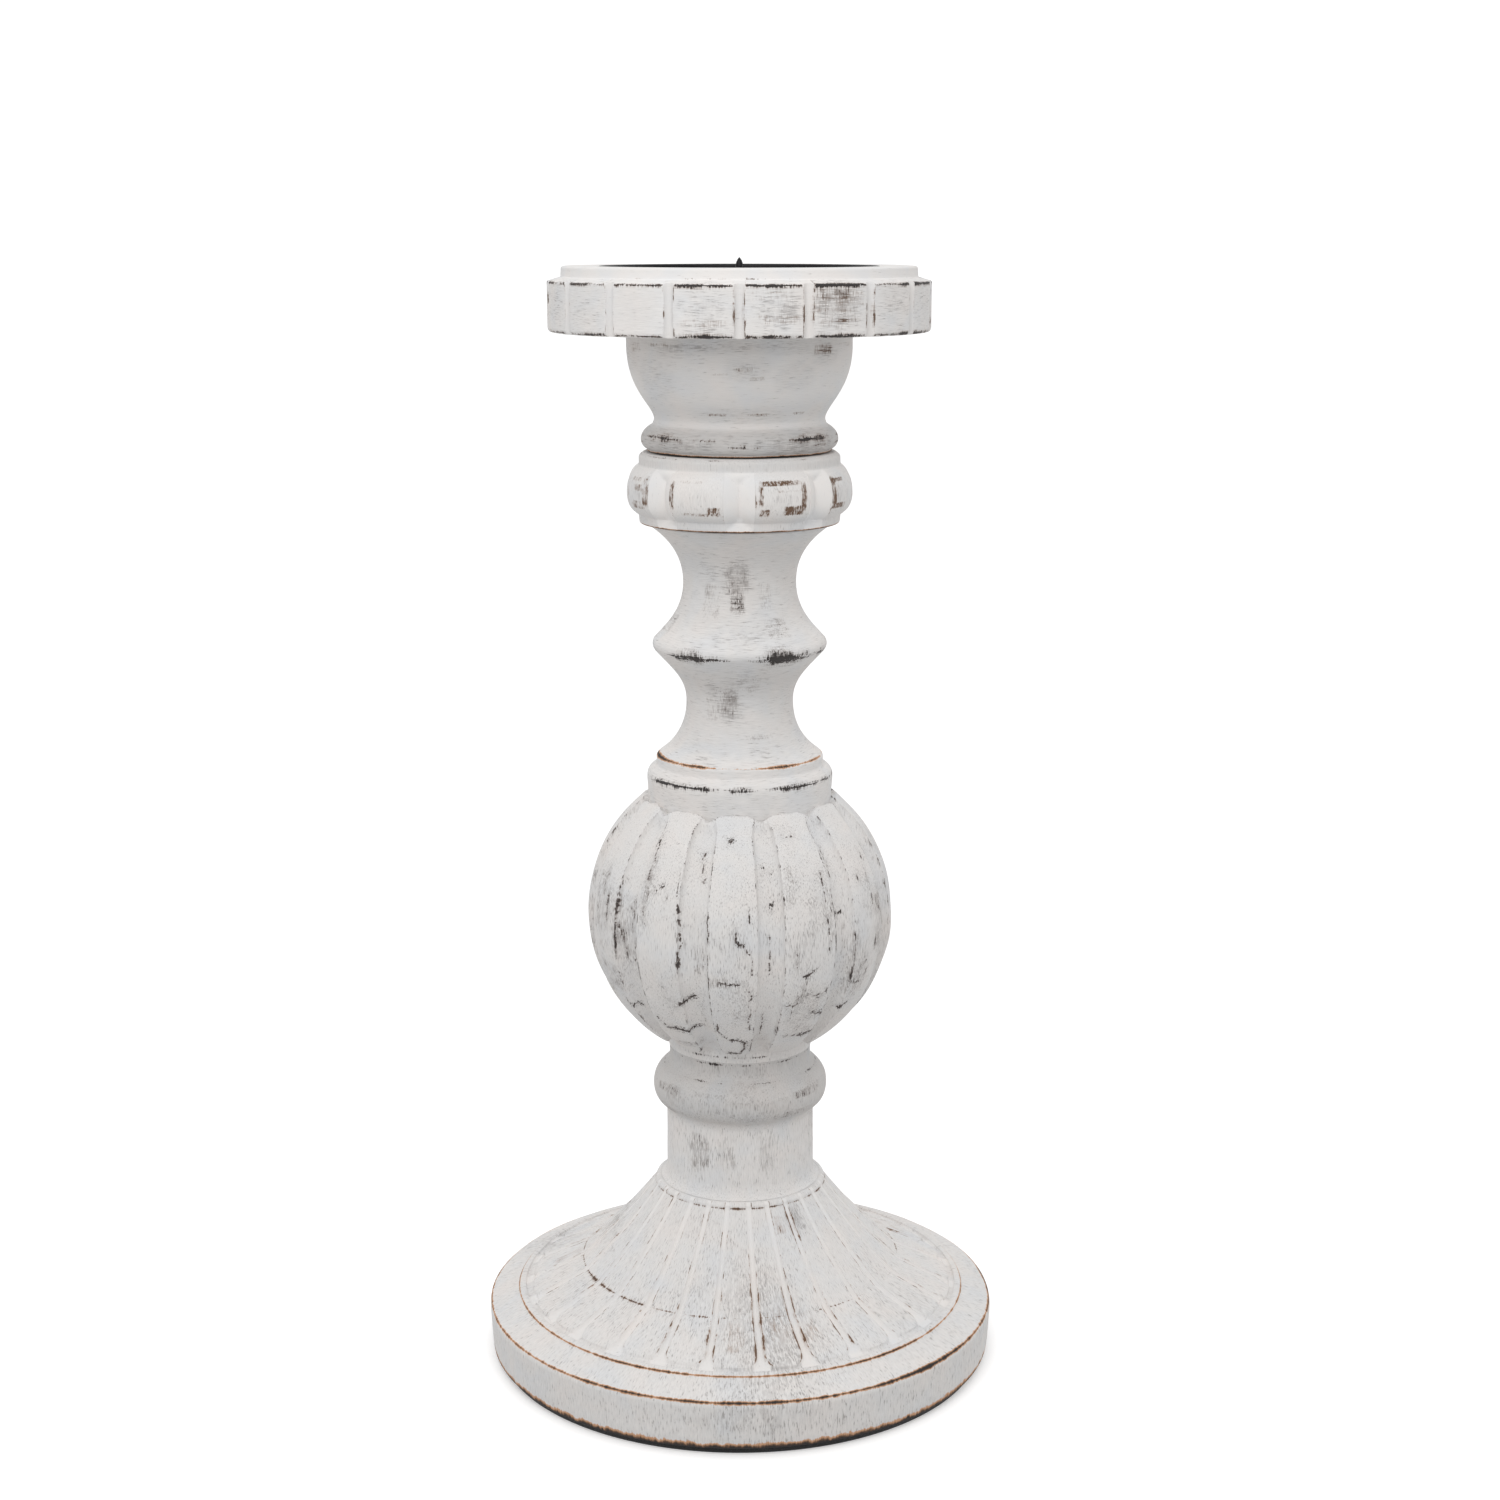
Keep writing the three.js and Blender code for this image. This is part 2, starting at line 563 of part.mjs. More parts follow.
around(PLATE_SCREWS, (angle, i) => {
  const mesh = add(`plate_screw_${i + 1}`, plateScrew(), metal(BRASSED_STEEL, 0.4));
  placeOnCircle(mesh, PLATE_SCREW_CIRCLE, angle);
}, 45);

export default part;
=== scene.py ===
"""A turned and carved wooden candlestick in rubbed white chalk paint.

Every wooden piece is one watertight surface: an outline in the (radius, height) plane is swept
round the Z axis on a grid whose columns follow the carved cuts. Lengths are in millimetres until
the mesh is made. Angles run from the front (-Y) towards +X.
"""
import math

import bmesh
import bpy
import numpy as np
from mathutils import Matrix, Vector


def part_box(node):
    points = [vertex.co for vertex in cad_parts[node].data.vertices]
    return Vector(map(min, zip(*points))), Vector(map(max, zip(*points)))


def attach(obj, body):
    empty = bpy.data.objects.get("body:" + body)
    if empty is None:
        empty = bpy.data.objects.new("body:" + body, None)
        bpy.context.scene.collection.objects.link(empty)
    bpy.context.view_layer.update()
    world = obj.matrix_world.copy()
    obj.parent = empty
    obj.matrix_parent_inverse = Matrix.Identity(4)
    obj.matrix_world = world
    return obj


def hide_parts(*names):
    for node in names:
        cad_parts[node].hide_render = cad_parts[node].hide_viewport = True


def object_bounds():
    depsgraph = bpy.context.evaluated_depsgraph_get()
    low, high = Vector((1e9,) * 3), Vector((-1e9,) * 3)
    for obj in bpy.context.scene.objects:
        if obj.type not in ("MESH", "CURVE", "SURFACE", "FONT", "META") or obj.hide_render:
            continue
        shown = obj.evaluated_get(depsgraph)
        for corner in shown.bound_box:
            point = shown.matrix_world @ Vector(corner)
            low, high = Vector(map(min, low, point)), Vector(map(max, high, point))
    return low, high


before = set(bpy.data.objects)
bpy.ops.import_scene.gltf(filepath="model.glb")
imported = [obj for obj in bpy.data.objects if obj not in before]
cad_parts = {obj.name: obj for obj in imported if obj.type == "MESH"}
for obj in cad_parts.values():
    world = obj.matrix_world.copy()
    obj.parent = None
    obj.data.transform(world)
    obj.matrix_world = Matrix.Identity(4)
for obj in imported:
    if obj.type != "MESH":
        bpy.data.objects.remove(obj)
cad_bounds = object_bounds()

MM = 0.001
TAU = 2 * math.pi
FAR = 9.0


# ---- sizes taken from the frame

def box_mm(node):
    low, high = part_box(node)
    return low.z / MM, high.z / MM, high.x / MM


PAD_BOTTOM, PAD_TOP, PAD_RADIUS = box_mm("base_pad")
BASE_BOTTOM, BASE_TOP, RIM_RADIUS = box_mm("base")
BALL_BOTTOM, BALL_TOP, _ = box_mm("ball")
BAND_BOTTOM, BAND_TOP, _ = box_mm("carved_band")
CUP_TOP = box_mm("cup")[1]
PLATE_BOTTOM, PLATE_TOP, PLATE_RADIUS = box_mm("plate")
PAN_BOTTOM, PAN_TOP, PAN_RADIUS = box_mm("drip_pan")
SPIKE_BOTTOM, SPIKE_TIP, _ = box_mm("spike")

BORE = 3.5
SPIGOT = 10.0
SPIGOT_LENGTH = 8.0
FOOT_SPIGOT = 13.0
FOOT_SPIGOT_LENGTH = 13.0
COUNTERBORE = 9.0
COUNTERBORE_DEPTH = 10.0
CLEARANCE = 0.3
SOCKET = SPIGOT + CLEARANCE
INNER = SPIGOT + 4

LOWER_STEM_BOTTOM = BASE_TOP + 0.05
LOWER_STEM_TOP = BALL_BOTTOM - 0.02
UPPER_STEM_BOTTOM = BALL_TOP + 0.02
UPPER_STEM_TOP = BAND_BOTTOM - CLEARANCE
CUP_BOTTOM = BAND_TOP + CLEARANCE


# ---- outlines

class Outline:
    """A closed outline in the (radius, height) plane, drawn anticlockwise from the underside."""

    def __init__(self, radius, height, step):
        self.points = [(radius, height)]
        self.steps = []
        self.soft = [0.0]
        self.step = step

    def draw(self, *strokes):
        """Adds strokes. One number sets the row spacing; (radius, height) is a straight line to
        there; four or six numbers are a Bezier curve. One more number softens the corner.
        """
        for stroke in strokes:
            if len(stroke) == 1:
                self.step = stroke[0]
            elif len(stroke) < 4:
                self.line(*stroke)
            elif len(stroke) % 2:
                self.curve(stroke[:-1], stroke[-1])
            else:
                self.curve(stroke)
        return self

    def line(self, radius, height, soft=0.0):
        self.points.append((radius, height))
        self.steps.append(self.step)
        self.soft.append(soft)

    def curve(self, handles, soft=0.0):
        control = np.array([self.points[-1], *zip(handles[0::2], handles[1::2])], float)
        span = np.abs(np.diff(control, axis=0)).sum()
        count = max(4, int(span / 0.9))
        for i in range(1, count + 1):
            t = i / count
            level = control
            while len(level) > 1:
                level = level[:-1] * (1 - t) + level[1:] * t
            self.line(level[0][0], level[0][1], soft if i == count else 0.0)

    def rounded(self):
        """The points and their row spacing, with soft corners drawn as short curves."""
        points = np.array(self.points)
        for i, here in enumerate(points):
            step = self.steps[i] if i < len(self.steps) else self.step
            if self.soft[i] <= 0:
                yield here, step
                continue
            before = points[i - 1] - here
            after = points[(i + 1) % len(points)] - here
            a = here + before * min(0.45, self.soft[i] / np.linalg.norm(before))
            b = here + after * min(0.45, self.soft[i] / np.linalg.norm(after))
            for t in (0, 0.25, 0.5, 0.75, 1):
                yield a * (1 - t) ** 2 + here * 2 * t * (1 - t) + b * t * t, step

    def rows(self):
        """Radius, height and outward normal of each row of the closed outline, as columns."""
        corners = list(self.rounded())
        dense = []
        for i, (a, step) in enumerate(corners):
            b = corners[(i + 1) % len(corners)][0]
            parts = max(1, int(math.ceil(np.linalg.norm(b - a) / step - 1e-6)))
            dense += [a + (b - a) * k / parts for k in range(parts)]
        line = np.array(dense)
        ahead = np.roll(line, -1, axis=0) - line
        behind = line - np.roll(line, 1, axis=0)
        tangent = ahead / np.linalg.norm(ahead, axis=1)[:, None]
        tangent += behind / np.linalg.norm(behind, axis=1)[:, None]
        tangent /= np.linalg.norm(tangent, axis=1)[:, None] + 1e-12
        return line[:, :1], line[:, 1:], tangent[:, 1:], -tangent[:, :1]


# ---- grids round the axis: arrays of (rows, columns)

def jittered(count, turn, jitter, seed):
    """Evenly spaced angles with the small errors of work done by hand."""
    rng = np.random.default_rng(seed)
    steps = (np.arange(count) + rng.uniform(-jitter, jitter, count)) * TAU / count
    return steps + math.radians(turn)


def carved_columns(centres, half, radius, inside, outside):
    """Columns that follow cuts: their angle, place across a cut (-1 to 1) and edge distance.

    half is each cut's half width in millimetres, an array (rows, cuts). The edge distance is
    positive between cuts and negative inside them. Between cuts the place is FAR.
    """
    rows, count = half.shape
    reach = half / np.maximum(radius, 1.0)
    even = np.linspace(0, 1, outside + 1)[:-1]
    between = 0.55 * (0.5 - 0.5 * np.cos(even * math.pi)) + 0.45 * even
    across = np.sin(np.linspace(-0.5, 0.5, inside + 1)[:-1] * math.pi)
    angle, place, edge = [], [], []
    for k in range(count):
        after = (k + 1) % count
        following = centres[after] + (TAU if after == 0 else 0)
        here = reach[:, k:k + 1]
        there = reach[:, after:after + 1]
        start = centres[k] + here
        room = following - there - start
        angle += [centres[k] + here * across, start + room * between]
        place += [np.tile(across, (rows, 1)), np.full((rows, outside), FAR)]
        edge += [-here * (1 - np.abs(across)), room * np.minimum(between, 1 - between)]
    angle, place, edge = (np.concatenate(part, axis=1) for part in (angle, place, edge))
    return angle, place, edge * radius


def ripple(angle, height, seed, size):
    """A gentle unevenness left by hand tools and thick paint."""
    rng = np.random.default_rng(seed)
    total = np.zeros_like(angle)
    for _ in range(9):
        turns = rng.integers(2, 14)
        wave = rng.uniform(0.08, 0.5)
        total += np.sin(turns * angle + wave * height + rng.uniform(0, TAU)) * rng.uniform(0.4, 1)
    return total * size / 3


def smooth(x):
    x = np.clip(x, 0, 1)
    return x * x * (3 - 2 * x)


def make_piece(name, radius, height, angle, values, sharp=50):
    """Makes a mesh object from a grid that closes on itself in both directions. values are the
    attributes of its points. Edges bent by more than sharp degrees stay sharp.
    """
    rows, columns = angle.shape
    radius = np.broadcast_to(radius, angle.shape)
    height = np.broadcast_to(height, angle.shape)
    spots = np.stack([radius * np.sin(angle), -radius * np.cos(angle), height], axis=-1) * MM
    index = np.arange(rows * columns).reshape(rows, columns)
    right = np.roll(index, -1, axis=1)
    up = np.roll(index, -1, axis=0)
    corner = np.roll(right, -1, axis=0)
    faces = np.stack([index, right, corner, up], axis=-1).reshape(-1, 4)
    mesh = bpy.data.meshes.new(name)
    mesh.vertices.add(rows * columns)
    mesh.vertices.foreach_set("co", spots.reshape(-1))
    mesh.loops.add(faces.size)
    mesh.loops.foreach_set("vertex_index", faces.reshape(-1))
    mesh.polygons.add(len(faces))
    mesh.polygons.foreach_set("loop_start", np.arange(len(faces)) * 4)
    mesh.update(calc_edges=True)
    mesh.validate()
    mesh.polygons.foreach_set("use_smooth", np.ones(len(faces), bool))
    mesh.set_sharp_from_angle(angle=math.radians(sharp))
    for key, value in values.items():
        layer = mesh.attributes.new(key, "FLOAT", "POINT")
        value = np.broadcast_to(value, angle.shape).astype(np.float32)
        layer.data.foreach_set("value", value.reshape(-1))
    piece = bpy.data.objects.new(name, mesh)
    bpy.context.collection.objects.link(piece)
    return piece


def dress(piece, node, material):
    piece.data.materials.append(material)
    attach(piece, "root")
    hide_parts(node)


# ---- where the paint is rubbed: strengths from 0 to 1.2, angles in degrees

def arc_bump(angle, centre, half, flat=1.0):
    """1 at the centre angle, falling smoothly to 0 at half degrees to either side."""
    away = np.abs((np.degrees(angle) - centre + 180) % 360 - 180)
    return smooth(flat * (1 - away / half))


def strength_round(angle, seed, floor, arcs):
    """How strongly a ring is rubbed at each angle: chosen arcs, and random ones elsewhere."""
    rng = np.random.default_rng(seed)
    total = np.full_like(angle, floor)
    for centre, half, amount in arcs:
        total += amount * arc_bump(angle, centre, half)
    typical = max([amount for _, _, amount in arcs], default=0.3)
    for centre in (95, 130, 165, 200, 235, 265):
        amount = typical * rng.uniform(0.2, 1.0)
        total += amount * arc_bump(angle, centre + rng.uniform(-12, 12), rng.uniform(12, 30))
    return np.clip(total, 0, 1.2)


class Skin:
    """The surface of a turned piece: (rows, 1) arrays from its outline, (rows, columns) angles."""

    def __init__(self, outline, columns=1):
        self.radius, self.height, self.out, self.up = outline.rows()
        self.angle = np.tile(np.arange(columns) * TAU / columns, (len(self.radius), 1))

    def rings(self, lines):
        """Signed distance to the nearest rubbed ring, and how strongly it is rubbed.

        Each ring is (radius, height, width, seed, floor, arcs) at a place on the outline. The
        distance is counted in widths of the ring.
        """
        distance = np.full(self.angle.shape, FAR)
        amount = np.zeros(self.angle.shape)
        index = np.arange(len(self.radius))[:, None]
        for radius, height, width, seed, floor, arcs in lines:
            nearest = int(np.argmin(np.hypot(self.radius - radius, self.height - height)))
            gap = np.hypot(self.radius - self.radius[nearest], self.height - self.height[nearest]) / width
            signed = np.where(index < nearest, -gap, gap)
            closer = np.abs(signed) < np.abs(distance)
            rubbed = strength_round(self.angle, seed, floor, arcs) * np.clip(2.0 - gap / 1.5, 0, 1)
            distance = np.where(closer, signed, distance)
            amount = np.where(closer, rubbed, amount)
        return distance, amount

    def patches(self, spots, floor, seed, count, rise, amount):
        """Areas rubbed thin, as (angle, height, half angle, half height, strength), plus count
        random ones on the far side between two heights.
        """
        rng = np.random.default_rng(seed)
        spots = list(spots)
        for _ in range(count):
            spots.append((rng.uniform(80, 280), rng.uniform(*rise), rng.uniform(8, 26),
                          rng.uniform(3, 9), amount * rng.uniform(0.3, 1)))
        total = np.full(self.angle.shape, floor)
        for centre, level, half, spread, strength in spots:
            fall = smooth(1 - np.abs(self.height - level) / spread)
            total += strength * arc_bump(self.angle, centre, half) * fall
        return np.clip(total, 0, 1.2)

    def bare(self, spots, seed):
        """Small spots rubbed to the wood, written like patches. Copies of the chosen spots, moved
        and weakened, wear the far side.
        """
        rng = np.random.default_rng(seed)
        moved = list(spots)
        for turn in (115, 180, 245):
            for centre, level, half, spread, strength in spots:
                moved.append((centre + turn + rng.uniform(-12, 12), level + rng.uniform(-0.3, 0.3),
                              half, spread, strength * rng.uniform(0.5, 1.0)))
        total = np.zeros(self.angle.shape)
        for centre, level, half, spread, strength in moved:
            fall = smooth(2.5 * (1 - np.abs(self.height - level) / spread))
            total = np.maximum(total, strength * arc_bump(self.angle, centre, half, 2.5) * fall)
        return total

    def push(self, amount):
        """The radius and height of the surface moved along its normal."""
        return self.radius + self.out * amount, self.height + self.up * amount

    def build(self, name, node, material, shape, lines=(), burnt=(), mask=1, sharp=50, **more):
        """Makes a wooden piece, with the attributes that the painted wood reads: distances and
        strengths. mask hides rings where it is 0.
        """
        line_mm, line_rub = self.rings(lines)
        burn_mm, burn_rub = self.rings(burnt)
        # One of these strengths, 0 unless a piece gives it, darkens the paint as painted shade.
        values = {"edge_mm": FAR, "edge_rub": 0.0, "crack_mm": FAR, "comb": 0.0, "bare": 0.0, "dull": 0.0,
                  "line_mm": line_mm, "line_rub": line_rub * mask, "burn_mm": burn_mm, "burn_rub": burn_rub}
        dress(make_piece(name, *shape, self.angle, values | more, sharp), node, material)


# ---- node trees

class Value:
    """A node's output, which + - and * turn into math nodes."""

    def __init__(self, nodes, socket):
        self.nodes = nodes
        self.socket = socket

    def __add__(self, other):
        return self.nodes.math("ADD", self, other)

    def __radd__(self, other):
        return self.nodes.math("ADD", other, self)

    def __sub__(self, other):
        return self.nodes.math("SUBTRACT", self, other)

    def __rsub__(self, other):
        return self.nodes.math("SUBTRACT", other, self)

    def __mul__(self, other):
        return self.nodes.math("MULTIPLY", self, other)


class Nodes:
    """Short names for building the node tree of a material or a world."""

    def __init__(self, owner):
        self.owner = owner
        owner.use_nodes = True
        self.tree = owner.node_tree

    def put(self, socket, value):
        if isinstance(value, Value):
            self.tree.links.new(value.socket, socket)
        else:
            socket.default_value = value

    def node(self, kind, inputs=None, output=0, **settings):
        node = self.tree.nodes.new("ShaderNode" + kind)
        for key, value in settings.items():
            setattr(node, key, value)
        for key, value in (inputs or {}).items():
            self.put(node.inputs[key], value)
        return Value(self, node.outputs[output])

    def math(self, kind, a, b=0.0, c=0.0):
        return self.node("Math", {0: a, 1: b, 2: c}, operation=kind)

    def most(self, a, *others):
        for other in others:
            a = self.math("MAXIMUM", a, other)
        return a

    def band(self, value, low, high, out_low=0.0, out_high=1.0, kind="SMOOTHSTEP"):
        inputs = {"Value": value, "From Min": low, "From Max": high, "To Min": out_low, "To Max": out_high}
        return self.node("MapRange", inputs, "Result", interpolation_type=kind)

    def noise(self, vector, scale, detail=3.0, roughness=0.55, distortion=0.0):
        inputs = {"Vector": vector, "Scale": scale, "Detail": detail, "Roughness": roughness}
        return self.node("TexNoise", inputs | {"Distortion": distortion}, "Fac")

    def mix(self, factor, a, b, kind="MIX"):
        return self.node("Mix", {0: factor, 6: a, 7: b}, 2, data_type="RGBA", blend_type=kind)

    def ramp(self, value, stops):
        colour = self.node("ValToRGB", {0: value})
        elements = colour.socket.node.color_ramp.elements
        while len(elements) < len(stops):
            elements.new(0.5)
        for element, (place, shade) in zip(elements, stops):
            element.position = place
            element.color = shade
        return colour

    def attribute(self, name):
        return self.node("Attribute", None, "Fac", attribute_name=name)

    def place(self):
        """The point being shaded, in millimetres."""
        point = self.node("TexCoord", None, "Object")
        return self.node("VectorMath", {0: point, "Scale": 1 / MM}, operation="SCALE")

    def stretch(self, vector, x, y, z):
        return self.node("VectorMath", {0: vector, 1: (x, y, z)}, operation="MULTIPLY")

    def split(self, vector):
        parts = self.node("SeparateXYZ", {0: vector}).socket.node.outputs
        return [Value(self, part) for part in parts]

    def join(self, x, y, z):
        return self.node("CombineXYZ", {0: x, 1: y, 2: z})

    def bump(self, height, distance):
        return self.node("Bump", {"Height": height, "Distance": distance, "Strength": 1.0})

    def finish(self, colour, roughness, normal, metallic=0.0, specular=0.5, **more):
        shader = self.tree.nodes["Principled BSDF"]
        values = {"Base Color": colour, "Roughness": roughness, "Normal": normal, "Metallic": metallic}
        for key, value in (values | {"Specular IOR Level": specular} | more).items():
            self.put(shader.inputs[key], value)
        return self.owner


def new_material(name):
    return Nodes(bpy.data.materials.new(name))


def grey(value, red=0.0, blue=0.0):
    return (value + red, value, value + blue, 1)


# ---- painted wood

PAINT_WARM = (0.79, 0.755, 0.73, 1)
PAINT_PLAIN = (0.77, 0.752, 0.737, 1)
PAINT_COOL = (0.735, 0.735, 0.74, 1)
FLECK = (0.25, 0.225, 0.215, 1)
WOOD_TAN = (0.42, 0.28, 0.20, 1)
WOOD_ORANGE = (0.60, 0.34, 0.20, 1)
WOOD_BROWN = (0.15, 0.09, 0.058, 1)
WOOD_DARK = (0.034, 0.029, 0.028, 1)
WOOD_GREY = (0.085, 0.075, 0.072, 1)


def paint_grain(n, place, grain):
    """The space in which the flecks are drawn.

    grain is "axial" for flecks that run up the piece, "radial" for flecks that run out from the
    axis, and "turned" for fine rings left by the lathe.
    """
    if grain == "turned":
        return n.stretch(place, 0.12, 0.12, 2.2)
    if grain == "axial":
        return n.stretch(place, 1.4, 1.4, 0.14)
    x, y, z = n.split(place)
    flat = n.math("SQRT", x * x + y * y)
    return n.join(n.math("DIVIDE", x, flat) * 60.0, n.math("DIVIDE", y, flat) * 60.0, (flat - z) * 0.16)


def painted_wood(name, grain, tan):
    """Chalk paint over dark wood, rubbed through where the attributes say.

    tan is how much light brown shows. One attribute darkens the paint as painted shade, on faces that sit in
    shadow.
    """
    n = new_material(name)
    place = n.place()
    along = paint_grain(n, place, grain)
    edge_mm, line_mm, burn_mm, crack_mm = map(n.attribute, ("edge_mm", "line_mm", "burn_mm", "crack_mm"))
    edge_rub, line_rub, burn_rub, rub = map(n.attribute, ("edge_rub", "line_rub", "burn_rub", "rub"))
    comb, bare, dull = map(n.attribute, ("comb", "bare", "dull"))
    line_mm = n.math("ABSOLUTE", line_mm)

    fine = n.noise(along, 3.2, 3.0, 0.6)
    ragged = n.noise(along, 1.3, 4.0, 0.65)
    hatch = ragged if grain == "radial" else n.noise(n.stretch(place, 1.3, 1.3, 0.2), 2.2, 3.0, 0.6)
    broken = n.noise(place, 0.30, 4.0, 0.6)
    cloud = n.noise(place, 0.05, 2.0, 0.5)
    tint = n.noise(place, 0.085, 3.0, 0.5, 0.4)
    speck = n.noise(place, 1.9, 2.0, 0.5)
    shake = hatch - 0.5
    streaky = ragged - 0.5
    gap = broken - 0.5

    # Flecks where the paint is thin.
    thin = rub + (cloud - 0.5) * 0.6
    fleck = n.band(fine - n.band(thin, 0.0, 1.0, 0.66, 0.46, "LINEAR"), 0.0, 0.09)
    fleck = fleck * n.band(broken, 0.36, 0.56, 0.3, 1.0)
    scuff = ragged * 0.55 + hatch * 0.45
    haze = n.band(thin, 0.3, 1.1) * n.band(scuff, 0.42, 0.60) * 0.42

    # Rings, carved edges and bare spots: a broken dark core in a softer smear.
    across = streaky * 1.9 + shake * 2.1 if grain == "turned" else shake * 2.2
    loose = across + gap * 1.5
    inner = n.math("ABSOLUTE", edge_mm - 0.1)
    line = line_rub - line_mm + loose
    edge = edge_rub - inner * 1.6 + (shake * 1.5 + gap * 1.9)
    patch = bare * 0.9 + n.most(shake, streaky) * 2.2 + gap * 1.2
    line = n.band(line, 0.30, 0.70) * n.band(line_rub, 0.03, 0.25)
    edge = n.band(edge, 0.30, 0.70) * n.band(edge_rub, 0.03, 0.25)
    patch = n.band(patch, 0.66, 1.02) * n.band(bare, 0.05, 0.4)
    soft = n.most(line_rub - line_mm * 0.5, edge_rub - inner * 0.7, bare * 0.95)
    smear = n.band(soft + loose, 0.12, 0.95) * n.band(soft, 0.05, 0.35, 0.0, 0.5)

    # Cracks in thick paint; the level ones have short upright scratches, like a comb.
    width = n.band(broken, 0.35, 0.62, 0.0, 0.27, "LINEAR")
    teeth = n.band(shake, 0.0, 0.12, 0.0, 0.85) * comb
    reach = width + teeth * n.band(broken, 0.42, 0.58)
    crack = n.band(crack_mm + (speck - 0.5) * 0.4 - reach, 0.16, -0.14, 0.0, 0.9)
    worn = n.most(line, edge, patch, crack)

    paint = n.ramp(tint, [(0.30, PAINT_COOL), (0.50, PAINT_PLAIN), (0.70, PAINT_WARM)])
    streak = n.band(fine, 0.3, 0.7, 1.04, 0.88, "LINEAR")
    # The paint is also darkened as painted shade where the piece asks for it, on faces that sit in shadow.
    streak = (1.05 + (streak - 1.05) * n.band(rub, 0.0, 0.25)) * (1.0 - dull)
    paint = n.mix(1.0, paint, n.join(streak, streak, streak), "MULTIPLY")
    tone = n.band(speck * 0.7 + line_rub * 0.35, 0.12 + 0.5 * tan, 0.42 + 0.5 * tan)
    deep = n.mix(tone, n.mix(min(1.0, 2 * tan), WOOD_GREY, WOOD_BROWN), WOOD_DARK)
    fringe = n.mix(tan, FLECK, WOOD_TAN)
    colour = n.mix(n.most(fleck * 0.58, haze), paint, FLECK)
    colour = n.mix(smear, colour, fringe)
    colour = n.mix(n.band(worn, 0.02, 0.5), colour, n.mix(n.band(worn, 0.3, 0.9), fringe, deep))

    # Corners rubbed through to the wood all the way round.
    burn = burn_rub - n.math("ABSOLUTE", burn_mm) + (shake + gap) * 1.1
    burnt = n.ramp(burn, [(0.0, WOOD_ORANGE), (0.28, WOOD_ORANGE), (0.50, WOOD_BROWN), (0.75, WOOD_DARK)])
    colour = n.mix(n.band(burn, 0.0, 0.22) * n.band(burn_rub, 0.02, 0.15), colour, burnt)

    relief = ragged * 0.22 + fine * 0.10 - worn * 0.5 - fleck * 0.18
    roughness = n.band(worn, 0.0, 1.0, 0.82, 0.62, "LINEAR")
    return n.finish(colour, roughness, n.bump(relief, 0.00022), specular=0.3)


AXIAL = painted_wood("rubbed_paint_upright", "axial", 0.5)
AXIAL_DARK = painted_wood("rubbed_paint_cracked", "axial", 0.1)
RADIAL = painted_wood("rubbed_paint_radial", "radial", 0.8)
TURNED = painted_wood("rubbed_paint_turned", "turned", 0.4)
TURNED_DARK = painted_wood("rubbed_paint_streaked", "turned", 0.1)


# ---- foot

GROOVES = 27
LEDGE = 23.4
PANEL_END = 58.4
CREASE = (43.8, 26.0)


